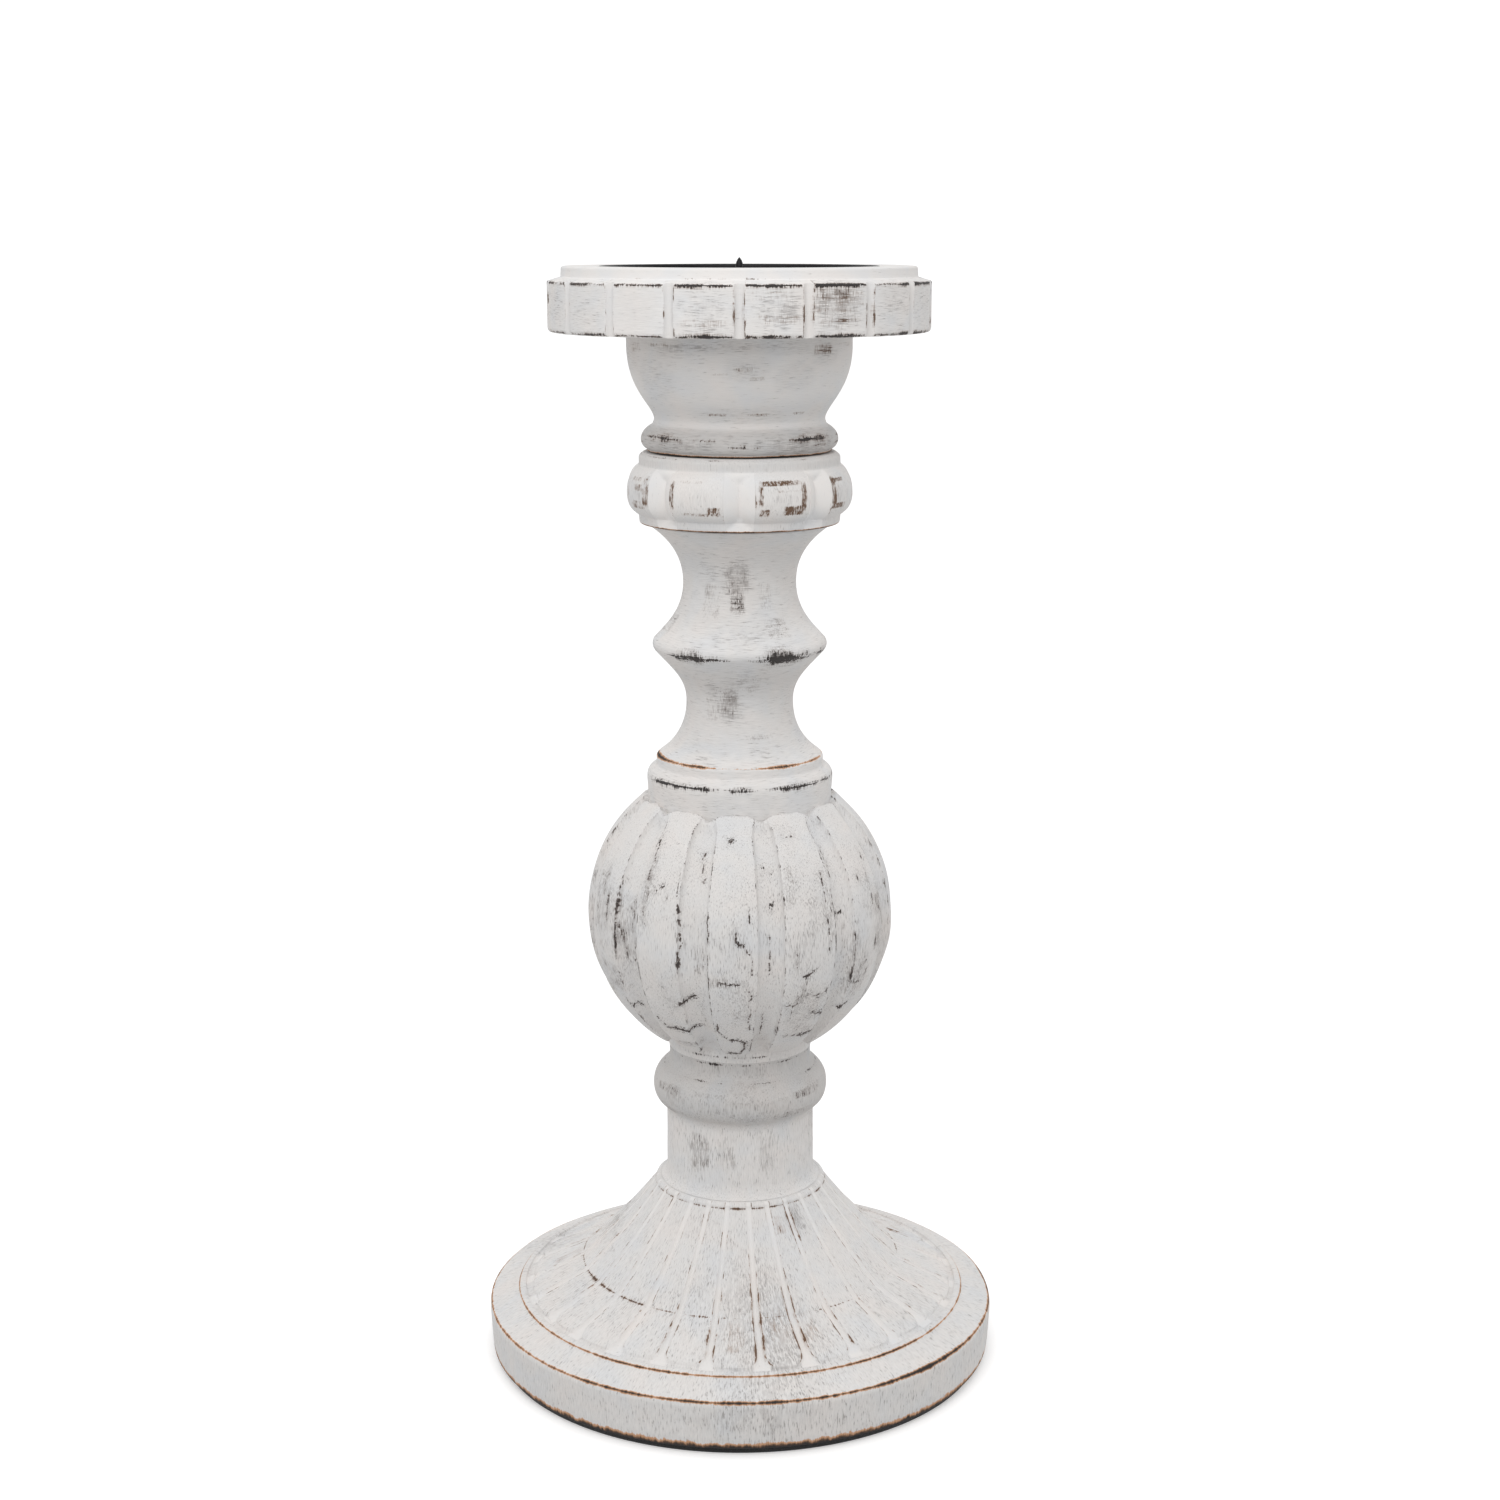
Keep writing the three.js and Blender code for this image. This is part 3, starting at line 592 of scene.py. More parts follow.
def make_base():
    bottom = BASE_BOTTOM
    floor = BASE_TOP - FOOT_SPIGOT_LENGTH - CLEARANCE
    hole = FOOT_SPIGOT + CLEARANCE
    skin = Skin(Outline(COUNTERBORE, bottom, 5.0).draw(
        (68.7, bottom, 0.2), (0.4,), (69.1, bottom + 0.5, 0.3), (69.4, bottom + 3.0, 0.5), (0.6,),
        (RIM_RADIUS - 0.1, 13.6, 0.3), (RIM_RADIUS - 0.35, 15.0, 0.7), (62.0, 17.75, 0.3), (0.35,),
        (61.75, 18.35, 0.15), (61.1, 18.95, 0.45), (60.3, 18.95, 0.4), (59.5, 18.75, 0.3), (0.55,),
        (PANEL_END, 19.25, 0.3), (51.5, 22.2, *CREASE), (0.95,), (30.9, 37.8, LEDGE + 0.1, 48.2), (0.3,),
        (LEDGE, 48.9, 0.2), (22.6, BASE_TOP, 0.45), (20.4, BASE_TOP), (5.0,), (hole, BASE_TOP),
        (hole, floor), (BORE, floor), (BORE, bottom + COUNTERBORE_DEPTH),
        (COUNTERBORE, bottom + COUNTERBORE_DEPTH),
    ))
    radius, height = skin.radius, skin.height
    rng = np.random.default_rng(11)
    centres = jittered(GROOVES, -8.3, 0.045, 12)
    outer = (height > 14) & (radius > 20)
    along = np.clip((radius - LEDGE) / (PANEL_END - LEDGE), 0, 1)
    wide = 0.62 + 0.55 * along + 0.8 * smooth((radius - 54.5) / 3.8) ** 1.5
    half = np.where(outer, wide, 1.2) * (1 + rng.uniform(-0.12, 0.12, GROOVES))
    half = np.where(radius < 20.4, 0.3 * radius * TAU / GROOVES / 2, half)
    angle, _, edge = carved_columns(centres, half, radius, 7, 9)
    skin.angle = angle

    # Panels stand proud between the grooves and end in rounded corners.
    ends = jittered(GROOVES, 0, 0.0, 0)
    which = np.argmin(np.abs((angle[0][:, None] - ends + math.pi) % TAU - math.pi), axis=1)
    tip = PANEL_END + rng.uniform(-0.45, 0.35, GROOVES)[which] - radius
    corner = 2.2
    both = (edge < corner) & (tip < corner)
    proud = np.where(both, corner - np.hypot(corner - edge, corner - tip), np.minimum(edge, tip))
    zone = outer & (radius < 59.9) & (radius > LEDGE - 1.0)
    depth = (0.30 + 0.75 * smooth(along * 2.2)) * smooth((60.1 - radius) / 0.9)
    depth = depth * smooth((radius - LEDGE + 1.0) / 1.2)
    drop = depth * (1 - (1 - np.clip(-proud / 0.85, 0, 1)) ** 2)
    drop = np.where(tip < 0, np.minimum(drop, 0.5), drop)
    drop = np.where(zone, drop, 0)
    lumpy = ripple(angle, radius * 2, 13, 0.07) * smooth((radius - 20) / 4)
    lumpy = np.minimum(np.where((height > 3) & (radius > 20.5), lumpy, 0), 0.04)

    rub = skin.patches(
        [(6, 22, 26, 26, 0.45), (22, 24, 16, 10, 0.25), (-20, 30, 16, 10, 0.2), (34, 45, 9, 5, 0.7),
         (-12, 10, 30, 6, 0.25), (20, 8, 25, 6, 0.2), (-62, 22, 14, 6, 0.2), (60, 22, 18, 6, 0.25)],
        0.34, 14, 10, (4, 45), 0.5)
    rub = np.where(zone & (edge < 0.2), rub * smooth((proud + 0.15) / 0.3), rub)
    rub = np.where((radius > 59) & (height > 15), rub * 0.85, rub)
    rub = np.where((radius > 60.2) & (height < 15), rub * 0.8, rub)
    gain = skin.patches(
        [(5, 24, 14, 16, 0.35), (18, 24, 12, 14, 0.35), (-10, 22, 10, 10, 0.3), (31, 22, 10, 8, 0.25),
         (-24, 24, 12, 8, 0.2), (28, 44, 12, 6, 0.4)], 0.3, 15, 8, (19, 40), 0.35)
    gain = np.where(zone, gain, 0) * (0.35 + 0.65 * smooth(tip / 3))
    bare = skin.bare(
        [(12, 25, 4, 4, 0.35), (-2, 23.5, 4, 3, 0.35), (22, 24, 4, 3, 0.3), (24, 44, 4, 2.5, 0.5)], 26)
    lines = (
        (*CREASE, 0.7, 23, 0.25,
         ((-62, 24, 0.6), (-38, 18, 0.55), (-14, 14, 0.4), (37, 10, 0.35), (12, 12, 0.2))),
        (LEDGE + 0.15, 48.1, 0.5, 24, 0.5, ((0, 60, 0.3),)),
    )
    burnt = (
        (RIM_RADIUS - 0.25, 14.9, 0.85, 21, 0.5, ((0, 35, 0.2), (45, 25, 0.45), (-30, 16, 0.2))),
        (61.7, 18.3, 0.7, 22, 0.42, ((-25, 40, 0.25), (35, 30, 0.25), (12, 12, 0.2))),
        (69.0, bottom + 0.1, 1.9, 25, 0.95, ()),
    )
    skin.build("carved_foot", "base", RADIAL, skin.push(lumpy - drop), lines, burnt,
               np.where((height > 20) & (proud < 0.15), 0, 1), rub=rub, edge_mm=proud, edge_rub=gain,
               bare=np.where(proud > 0.2, bare, 0))


# ---- stem

def make_lower_stem():
    bottom = LOWER_STEM_BOTTOM
    top = LOWER_STEM_TOP
    skin = Skin(Outline(BORE, bottom - FOOT_SPIGOT_LENGTH, 5.0).draw(
        (FOOT_SPIGOT, bottom - FOOT_SPIGOT_LENGTH, 0.5), (FOOT_SPIGOT, bottom), (20.0, bottom), (0.4,),
        (21.9, bottom, 0.15), (20.5, bottom + 0.7, 20.2, bottom + 3.6), (0.6,), (20.1, 69.0, 0.3),
        (0.35,), (20.45, 70.4, 0.4), (20.9, 71.1, 0.25), (22.7, 72.0, 23.8, 73.9, 23.8, 76.4),
        (23.8, 79.3, 22.6, 81.0, 20.5, 82.6), (18.9, 84.0, 19.1, 86.2, 19.45, top), (5.0,),
        (SPIGOT, top), (SPIGOT, top + SPIGOT_LENGTH, 0.5), (BORE, top + SPIGOT_LENGTH),
    ), 240)
    lumpy = np.where(skin.radius > 18, ripple(skin.angle, skin.height, 31, 0.05), 0)
    bare = skin.bare(
        [(-58, 78.5, 15, 1.3, 0.6), (-22, 79.5, 14, 0.8, 0.4), (40, 73.5, 22, 1.2, 0.5),
         (8, 73.0, 12, 0.9, 0.4), (-50, 72.6, 14, 0.9, 0.5), (60, 79, 11, 1.1, 0.4), (-34, 62, 12, 7, 0.4),
         (-8, 62.5, 7, 6, 0.32), (20, 62, 8, 7, 0.32), (2, 81.5, 14, 2, 0.3)], 36)
    # The wide patch across the front of the torus, at 76 mm, greys it: partly rubbed paint, partly painted
    # shade.
    rub = skin.patches(
        [(-34, 61, 18, 9, 0.65), (-12, 62, 14, 10, 0.35), (22, 62, 12, 9, 0.4), (-50, 78, 16, 5, 0.35),
         (0, 76, 75, 7, 0.4), (-20, 86, 14, 4, 0.5), (12, 85, 20, 4, 0.45), (55, 80, 16, 5, 0.3)],
        0.27, 35, 12, (54, 86), 0.6)
    lines = (
        (20.6, 82.5, 1.0, 33, 0.12, ((-30, 20, 0.35), (18, 16, 0.25), (66, 14, 0.3))),
        (19.4, 87.3, 0.8, 34, 0.25, ((-22, 14, 0.4), (4, 10, 0.35), (40, 14, 0.2))),
    )
    # The torus and the neck above it, from about 68 mm up, are darkened as painted shade.
    skin.build("turned_neck", "lower_stem", AXIAL_DARK, skin.push(lumpy), lines, rub=rub, bare=bare,
               dull=0.2 * smooth((skin.height - 68) / 5))


LOBES = 12
BALL_MIDDLE = (BALL_BOTTOM + BALL_TOP) / 2 + 2.85
BALL_RADIUS = 41.1
COLLAR_RADIUS = 24.45
SCALLOP = 3.6
SCALLOP_DEPTH = 1.7

# Cracks in the ball's paint: the angle and height of each point along them.
CRACKS = (
    (-39.5, 152, -38.5, 145, -39.2, 140, -38.8, 134, -37.2, 130),
    (-25, 145, -24, 137, -22.5, 128, -23.5, 119.5), (-53.5, 135, -53, 128, -50.5, 123, -49, 117),
    (3.5, 137, 3.5, 133), (-2, 132, -1.5, 128, 1.5, 127, 4, 124, 4.5, 119),
    (-8, 116.6, -3, 116.3, 2, 115.7, 4.5, 112.8, 3, 110.3, 4.5, 107.5, 3.5, 105, 4, 102.4),
    (-10, 104, -9.5, 100.5, -5, 98.6, 2.5, 97.7, 2, 94.8, 0.5, 92.6, -7, 92.3),
    (-28.5, 110, -26.5, 108.8, -22, 109.7, -17.5, 111.2),
    (-38.5, 103.7, -35, 101, -26.5, 100.5, -20.5, 100),
    (20.5, 124, 21.5, 120, 23.5, 117.6, 26, 117.2, 28.5, 118.8),
    (34, 143.5, 33.5, 132.7, 34.5, 127.7, 34.5, 122.6), (40, 132.7, 44, 132.7), (44, 124.5, 44.5, 122),
    (54.5, 118.8, 57.5, 116.3, 57, 113.8), (48, 112.5, 54, 112), (17, 109.4, 22, 109, 24, 110.6),
    (26.5, 112, 31, 111, 36, 112.5), (21.5, 108.7, 21.5, 104.3), (32, 106, 37.5, 105),
    (22.5, 99, 29, 98.3, 36, 99.2), (-14.5, 123, -13.5, 120), (-31, 115, -31, 114),
    (-63.5, 142, -63.5, 139), (-60, 135, -60, 132), (11, 146.3, 13, 145.7), (12, 137.3, 13, 137),
    (53, 140.6, 53, 139.4), (-14.5, 143.5, -14.5, 142.5), (-34, 139, -31, 140.5, -28, 137.5),
    (-6.5, 152.5, -3, 152), (20, 153, 26, 152.6), (-46, 133, -45, 126, -45.5, 118),
    (-12, 134, -11.5, 127), (-17, 150, -16.5, 143), (11, 129, 11.5, 118), (28, 137, 27.5, 129),
    (42, 150, 41.5, 142), (60, 131, 61, 121), (-57, 112, -55, 105, -50, 104), (-42, 113, -41, 106),
    (10, 105, 10.5, 98), (40, 101, 39, 95), (66, 136, 66, 126), (-17, 108, -16.5, 102),
    (46, 104, 50, 106),
)


def crack_distance(angle, height, radius):
    """Distance to the nearest crack and how level it is; the far side repeats some of them."""
    rng = np.random.default_rng(41)
    cracks = [np.reshape(crack, (-1, 2)) for crack in CRACKS]
    strokes = list(cracks)
    for turn in (112, 180, 248):
        for crack in cracks:
            if rng.uniform() < 0.62:
                across = crack[:, 0] * rng.choice((-1, 1)) * 0.8 + turn
                level = np.clip(crack[:, 1] + rng.uniform(-6, 6), 93, 153)
                strokes.append(np.stack([across, level], axis=1))
    per_degree = radius * math.pi / 180
    arc = np.degrees(angle) * per_degree
    height = height + 0.22 * np.sin(1.6 * arc + 0.7 * height) + 0.12 * np.sin(3.3 * arc - 1.9 * height)
    wobble = 0.20 * np.sin(1.3 * height + 0.9 * arc) + 0.12 * np.sin(3.1 * height - 1.3 * arc)
    degrees = np.degrees(angle) + wobble / per_degree
    nearest = np.full(angle.shape, FAR)
    comb = np.zeros(angle.shape)
    for stroke in strokes:
        for (a0, z0), (a1, z1) in zip(stroke[:-1], stroke[1:]):
            along_x = (((a1 - a0) + 180) % 360 - 180) * per_degree
            along_z = z1 - z0
            away_x = ((degrees - a0 + 180) % 360 - 180) * per_degree
            away_z = height - z0
            share = (away_x * along_x + away_z * along_z) / (along_x ** 2 + along_z ** 2 + 1e-9)
            share = np.clip(share, 0, 1)
            gap = np.hypot(away_x - share * along_x, away_z - share * along_z)
            level = np.abs(along_x) / (np.hypot(along_x, along_z) + 1e-9)
            comb = np.where(gap < nearest, smooth((level - 0.5) / 0.4), comb)
            nearest = np.minimum(nearest, gap)
    sides = arc_bump(angle, 86, 20) + arc_bump(angle, -86, 20)
    return nearest + 0.7 * sides, comb


def channels():
    """Angles of the channels that part the ball's lobes."""
    return jittered(LOBES, -18.3, 0.04, 42)


def lobe_tops(angle, from_collar):
    """Distance in from the scalloped upper edge of the lobes, which meet the collar."""
    away = np.abs((angle[..., None] - channels() + math.pi) % TAU - math.pi).min(axis=-1)
    across = np.clip(away / (math.pi / LOBES), 0, 1)
    return from_collar - SCALLOP * (1 - across) ** 1.7


def step_down(inside):
    """0 inside an edge, rising to 1 beyond it over a short rounded step."""
    return 1 - (1 - np.clip(-inside / 0.6, 0, 1)) ** 2


def make_ball():
    start = -math.acos(20.6 / BALL_RADIUS)
    end = math.asin((BALL_TOP - BALL_MIDDLE) / BALL_RADIUS)
    depth = SPIGOT_LENGTH + CLEARANCE
    path = Outline(SOCKET, BALL_BOTTOM, 4.0).draw(
        (17.5, BALL_BOTTOM), (0.4,), (19.5, BALL_BOTTOM), (19.75, BALL_BOTTOM + 1.3, 0.3), (0.6,),
    )
    for turn in np.linspace(start, end, 97):
        path.line(BALL_RADIUS * math.cos(turn), BALL_MIDDLE + BALL_RADIUS * math.sin(turn))
    skin = Skin(path.draw(
        (4.0,), (SOCKET, BALL_TOP), (SOCKET, BALL_TOP - depth), (BORE, BALL_TOP - depth),
        (BORE, BALL_BOTTOM + depth), (SOCKET, BALL_BOTTOM + depth),
    ))
    radius, height = skin.radius, skin.height
    outer = radius > INNER
    pitch = TAU / LOBES
    share = np.random.default_rng(43).uniform(0.9, 1.1, LOBES)
    level = np.clip((height - BALL_MIDDLE) / BALL_RADIUS, -1, 1)
    slope = np.sqrt(np.maximum(1 - level ** 2, 0.05))
    ledge = BALL_RADIUS * math.cos(end) - COLLAR_RADIUS
    from_collar = (BALL_TOP - height) / slope + np.clip(radius - COLLAR_RADIUS, -3, ledge)
    wide = (0.185 + 0.035 * np.abs(level) ** 2) * (0.5 + 0.5 * smooth((from_collar - 1) / 6))
    angle, place, edge = carved_columns(channels(), wide * pitch * radius * share, radius, 14, 18)
    skin.angle = angle

    # Ribs end in rounded lobes at the bottom and in scallops against the collar at the top.
    tip = (height - BALL_BOTTOM - 3.1) / slope
    corner = np.minimum(5.4, 0.31 * pitch * radius)
    both = (edge < corner) & (tip < corner)
    rib = np.where(both, corner - np.hypot(corner - edge, corner - tip), np.minimum(edge, tip))
    top = lobe_tops(angle, from_collar)
    trough = np.where(place < FAR, (1 - np.clip(np.abs(place), 0, 1) ** 2) ** 0.8, 0)
    drop = step_down(rib) * (1.3 - 0.3 * smooth((tip + 0.5) / 6)) * smooth((top - 0.3) / 5)
    drop += 1.25 * trough * smooth((np.minimum(tip, top) + 1.5) / 4.5)
    drop += 0.2 * np.exp(-np.maximum(rib, 0) / 0.6) * smooth(top / 4)
    drop = np.maximum(drop, SCALLOP_DEPTH * step_down(top))
    fade = smooth((height - BALL_BOTTOM - 1.2) / 1.2)
    drop = np.where(outer, drop, 0) * fade
    lumpy = np.where(outer, ripple(angle, height, 44, 0.16), 0) * fade
    new_radius, new_height = skin.push(lumpy - drop)
    under = (height > BALL_TOP - 0.01) & (radius < COLLAR_RADIUS + 0.1) & outer
    fitted = BALL_TOP - SCALLOP_DEPTH * step_down(lobe_tops(angle, 0.0))
    new_height = np.clip(np.where(under, fitted, new_height), BALL_BOTTOM, BALL_TOP)

    crack, comb = crack_distance(angle, height, np.maximum(radius, 5))
    rub = skin.patches(
        [(-2, 112, 12, 14, 0.3), (-28, 108, 12, 12, 0.25), (28, 108, 14, 14, 0.35), (48, 118, 14, 16, 0.4),
         (-50, 122, 14, 20, 0.35), (0, 128, 9, 8, 0.3), (24, 124, 9, 10, 0.3), (-38, 138, 6, 16, 0.35),
         (-62, 132, 10, 14, 0.4), (22, 142, 8, 10, 0.25), (31, 136, 7, 12, 0.25), (55, 138, 9, 12, 0.25)],
        0.28, 45, 16, (95, 148), 0.45)
    rub = np.where(outer, rub + 0.45 * np.exp(-crack / 1.0), 0)
    gain = skin.patches(
        [(9, 94, 12, 5, 0.4), (-33, 94, 14, 5, 0.35), (-14, 116, 7, 14, 0.12), (-40, 118, 7, 14, 0.15),
         (34, 128, 7, 14, 0.3), (-52, 128, 10, 16, 0.3), (20, 104, 12, 12, 0.3), (50, 116, 8, 14, 0.3)],
        0.36, 46, 10, (92, 140), 0.2)
    bare = skin.bare(
        [(-8, 116.5, 6, 1.8, 0.5), (24, 113, 3, 5, 0.42), (-20, 100.5, 8, 0.8, 0.5), (-66, 133, 6, 11, 0.4),
         (-52, 128, 4, 9, 0.42), (-60, 112, 8, 6, 0.42), (53, 113, 4, 6, 0.45), (8, 96, 9, 2.2, 0.4),
         (-30, 95, 12, 1.4, 0.42), (30, 100, 6, 3.5, 0.42), (36, 134, 2, 9, 0.42), (-38, 140, 2, 9, 0.45),
         (0, 106, 5, 3, 0.36), (20, 141, 3, 7, 0.35), (46, 126, 5, 5, 0.36), (-16, 122, 3, 6, 0.36),
         (64, 128, 5, 12, 0.42)], 48)
    lines = ((20.2, BALL_BOTTOM + 1.4, 0.8, 47, 0.1, ((0, 40, 0.3), (-34, 20, 0.3))),)
    skin.build("lobed_ball", "ball", AXIAL_DARK, (new_radius, new_height), lines, rub=rub,
               edge_mm=np.minimum(rib, top), edge_rub=gain, crack_mm=crack, comb=comb, bare=bare)


def make_upper_stem():
    bottom = UPPER_STEM_BOTTOM
    top = UPPER_STEM_TOP
    skin = Skin(Outline(BORE, bottom - SPIGOT_LENGTH, 5.0).draw(
        (SPIGOT, bottom - SPIGOT_LENGTH, 0.5), (SPIGOT, bottom), (22.0, bottom), (0.45,),
        (COLLAR_RADIUS, bottom, 0.12), (24.85, 162.4, 0.3), (24.95, 164.5, 24.2, 165.6, 22.5, 165.9), (0.3,),
        (22.25, 166.3, 0.25), (22.3, 168.5, 0.3), (21.7, 169.15, 0.25), (0.5,),
        (18.2, 171.6, 14.23, 175.6, 14.23, 183.4), (14.23, 189.3, 18.2, 192.3, 22.5, 197.2), (0.35,),
        (23.1, 197.9, 23.35, 199.0, 22.8, 200.0), (0.5,), (19.6, 203.6, 14.96, 207.5, 14.96, 215.2),
        (14.96, 222.1, 18.6, 226.7, 23.9, top - 0.25, 0.2), (23.7, top), (5.0,), (SPIGOT, top),
        (SPIGOT, top + SPIGOT_LENGTH, 0.5), (BORE, top + SPIGOT_LENGTH),
    ), 216)
    radius, height, angle = skin.radius, skin.height, skin.angle
    lumpy = np.where(radius > 13.5, ripple(angle, height, 51, 0.035), 0)
    new_radius, new_height = skin.push(lumpy)

    # The collar's lower edge follows the ball's scallops.
    fitted = SCALLOP_DEPTH * step_down(lobe_tops(angle, 0.0)) * smooth((bottom + 1 - height) / 0.9)
    new_height = new_height - np.where((radius > INNER) & (height < bottom + 1), fitted, 0)
    bare = skin.bare(
        [(-2, 211.5, 9, 4, 0.55), (-4, 216.5, 16, 4, 0.36), (-28, 212, 12, 6, 0.34), (32, 205, 14, 3, 0.38),
         (26, 213, 10, 5, 0.28), (-14, 185, 16, 5, 0.42), (-30, 183, 10, 4, 0.36), (8, 190, 14, 3, 0.3),
         (20, 176, 18, 1, 0.35)], 57)
    rub = skin.patches(
        [(-2, 218.5, 20, 7, 1.15), (-30, 220, 18, 6, 0.4), (-12, 185, 20, 9, 0.85), (-30, 188, 14, 7, 0.4),
         (0, 203, 40, 4, 0.35), (10, 193, 30, 4, 0.4), (30, 205, 24, 6, 0.3), (-30, 172, 24, 5, 0.3),
         (20, 172, 24, 5, 0.35), (0, 160, 40, 3, 0.2)], 0.2, 56, 14, (160, 226), 0.6)
    lines = (
        (24.4, 163.8, 1.3, 52, 0.25,
         ((-52, 28, 0.6), (-24, 22, 0.45), (0, 14, 0.4), (38, 24, 0.65), (66, 14, 0.4))),
        (22.9, 197.6, 2.2, 54, 0.05, ((-34, 34, 0.85), (30, 34, 1.1), (68, 16, 0.5))),
    )
    burnt = ((21.9, 168.9, 0.95, 53, 0.12,
              ((-64, 36, 0.62), (-32, 18, 0.5), (30, 26, 0.65), (64, 16, 0.4))),)
    # Where the radius falls below 21 mm, most in the narrow coves, the paint is darkened a little as painted
    # shade.
    skin.build("turned_stem", "upper_stem", TURNED_DARK, (new_radius, new_height), lines, burnt, rub=rub,
               bare=bare, dull=0.09 * smooth((21 - radius) / 5))


# ---- carved band

BAND_CUTS = 8
BULGE_RADIUS = 29.75


def make_band():
    bottom = BAND_BOTTOM
    top = BAND_TOP
    middle = bottom + 8.4
    skin = Skin(Outline(SOCKET, bottom, 5.0).draw(
        (24.0, bottom), (0.35,), (26.1, bottom, 0.3), (26.45, bottom + 0.6, 0.3),
        (26.6, bottom + 2.4, 0.3),
        (28.3, bottom + 3.3, BULGE_RADIUS, bottom + 4.9, BULGE_RADIUS, middle),
        (BULGE_RADIUS, middle + 3.3, 28.5, middle + 5.8, 26.8, middle + 6.7, 0.2),
        (26.4, middle + 7.1, 0.3), (26.35, top - 0.9, 0.5), (25.2, top, 0.3), (23.5, top), (5.0,),
        (SOCKET, top), (SOCKET, bottom + 6),
    ))
    radius, height = skin.radius, skin.height
    outer = radius > INNER
    centres = jittered(BAND_CUTS, 0, 0.012, 61)
    half = np.tile(0.138 * radius, (1, BAND_CUTS))
    angle, place, edge = carved_columns(centres, half, radius, 20, 28)
    skin.angle = angle

    # Each cut is a valley that follows the bulge, with a hipped facet at either end.
    rise = height - middle
    reach = np.where(rise < 0, 8.1, 7.0)
    start = np.where(rise < 0, 4.4, 4.0)
    hip = 1 - np.clip((np.abs(rise) - start) / (reach - start), 0, 1)
    q = np.where(place < FAR, np.abs(place), 1.0)
    valley = 2.6 * np.minimum(1 - q, hip)
    pillow = 0.2 * np.exp(-np.maximum(edge, 0) / 1.0) * smooth((radius - 26.6) / 1.6)
    lumpy = np.where(outer, ripple(angle, height, 62, 0.05), 0)
    new_radius = np.where(outer, radius + lumpy - pillow * (q > 0.99) - valley, radius)

    edge_mm = np.where((np.abs(rise) < reach) & (radius > 25), edge, FAR)
    bare = skin.bare(
        [(21, 243.6, 13, 0.8, 0.8), (25, 241.6, 8, 0.5, 0.55), (33.5, 240, 2.2, 4.4, 0.85),
         (28, 236.6, 7, 1.5, 0.9), (12.5, 236.2, 3.5, 1.2, 0.75), (10.5, 240.5, 1.5, 3.2, 0.7),
         (-35.5, 240.3, 1.8, 4.4, 0.85), (-13, 236.5, 4.5, 1.5, 0.85), (-22, 235.7, 10, 0.5, 0.6),
         (-25, 243.8, 8, 0.5, 0.4), (55, 240.6, 2.6, 4.6, 0.95), (60, 236.8, 9, 0.9, 0.8),
         (60, 243.4, 7, 0.7, 0.75), (-54, 239.6, 2, 3.6, 0.75), (-61, 241.3, 6, 1.1, 0.6),
         (-63, 237.3, 6, 0.8, 0.6)], 69)
    rub = skin.patches(
        [(20, 240, 12, 5, 0.35), (-22, 238, 12, 5, 0.2), (60, 240, 14, 6, 0.45), (-60, 240, 14, 6, 0.4)],
        0.16, 67, 8, (233, 246), 0.4)
    gain = skin.patches(
        [(34, 239, 5, 6, 0.6), (53, 239, 5, 7, 0.7), (-37, 240, 5, 6, 0.6), (-10, 236, 4, 4, 0.5),
         (9, 240, 4, 5, 0.5), (-53, 240, 5, 5, 0.4)], 0.12, 68, 10, (235, 245), 0.6)
    lines = ((25.9, top - 0.3, 0.7, 65, 0.1, ((-50, 22, 0.4), (-15, 12, 0.2), (40, 18, 0.2))),)
    # The dark line round the band's lower edge is a painted shadow at the seam with the stem below, coloured
    # as rubbed-through wood.
    burnt = ((26.2, bottom + 0.05, 0.42, 66, 0.75, ((0, 40, 0.2),)),)
    # Painted shade: the neck above the bulge and the lowest 2.6 mm of the band are darkened.
    dull = 0.12 * smooth((rise - 6.6) / 0.6) + 0.08 * smooth((bottom + 2.6 - height) / 0.8)
    skin.build("carved_pillow_band", "carved_band", AXIAL, (new_radius, height), lines, burnt, sharp=32,
               rub=np.where(edge_mm < 0, rub * 0.2, rub), edge_mm=edge_mm, edge_rub=gain,
               bare=np.where(edge_mm > 0.05, bare, 0), dull=dull)


# ---- cup

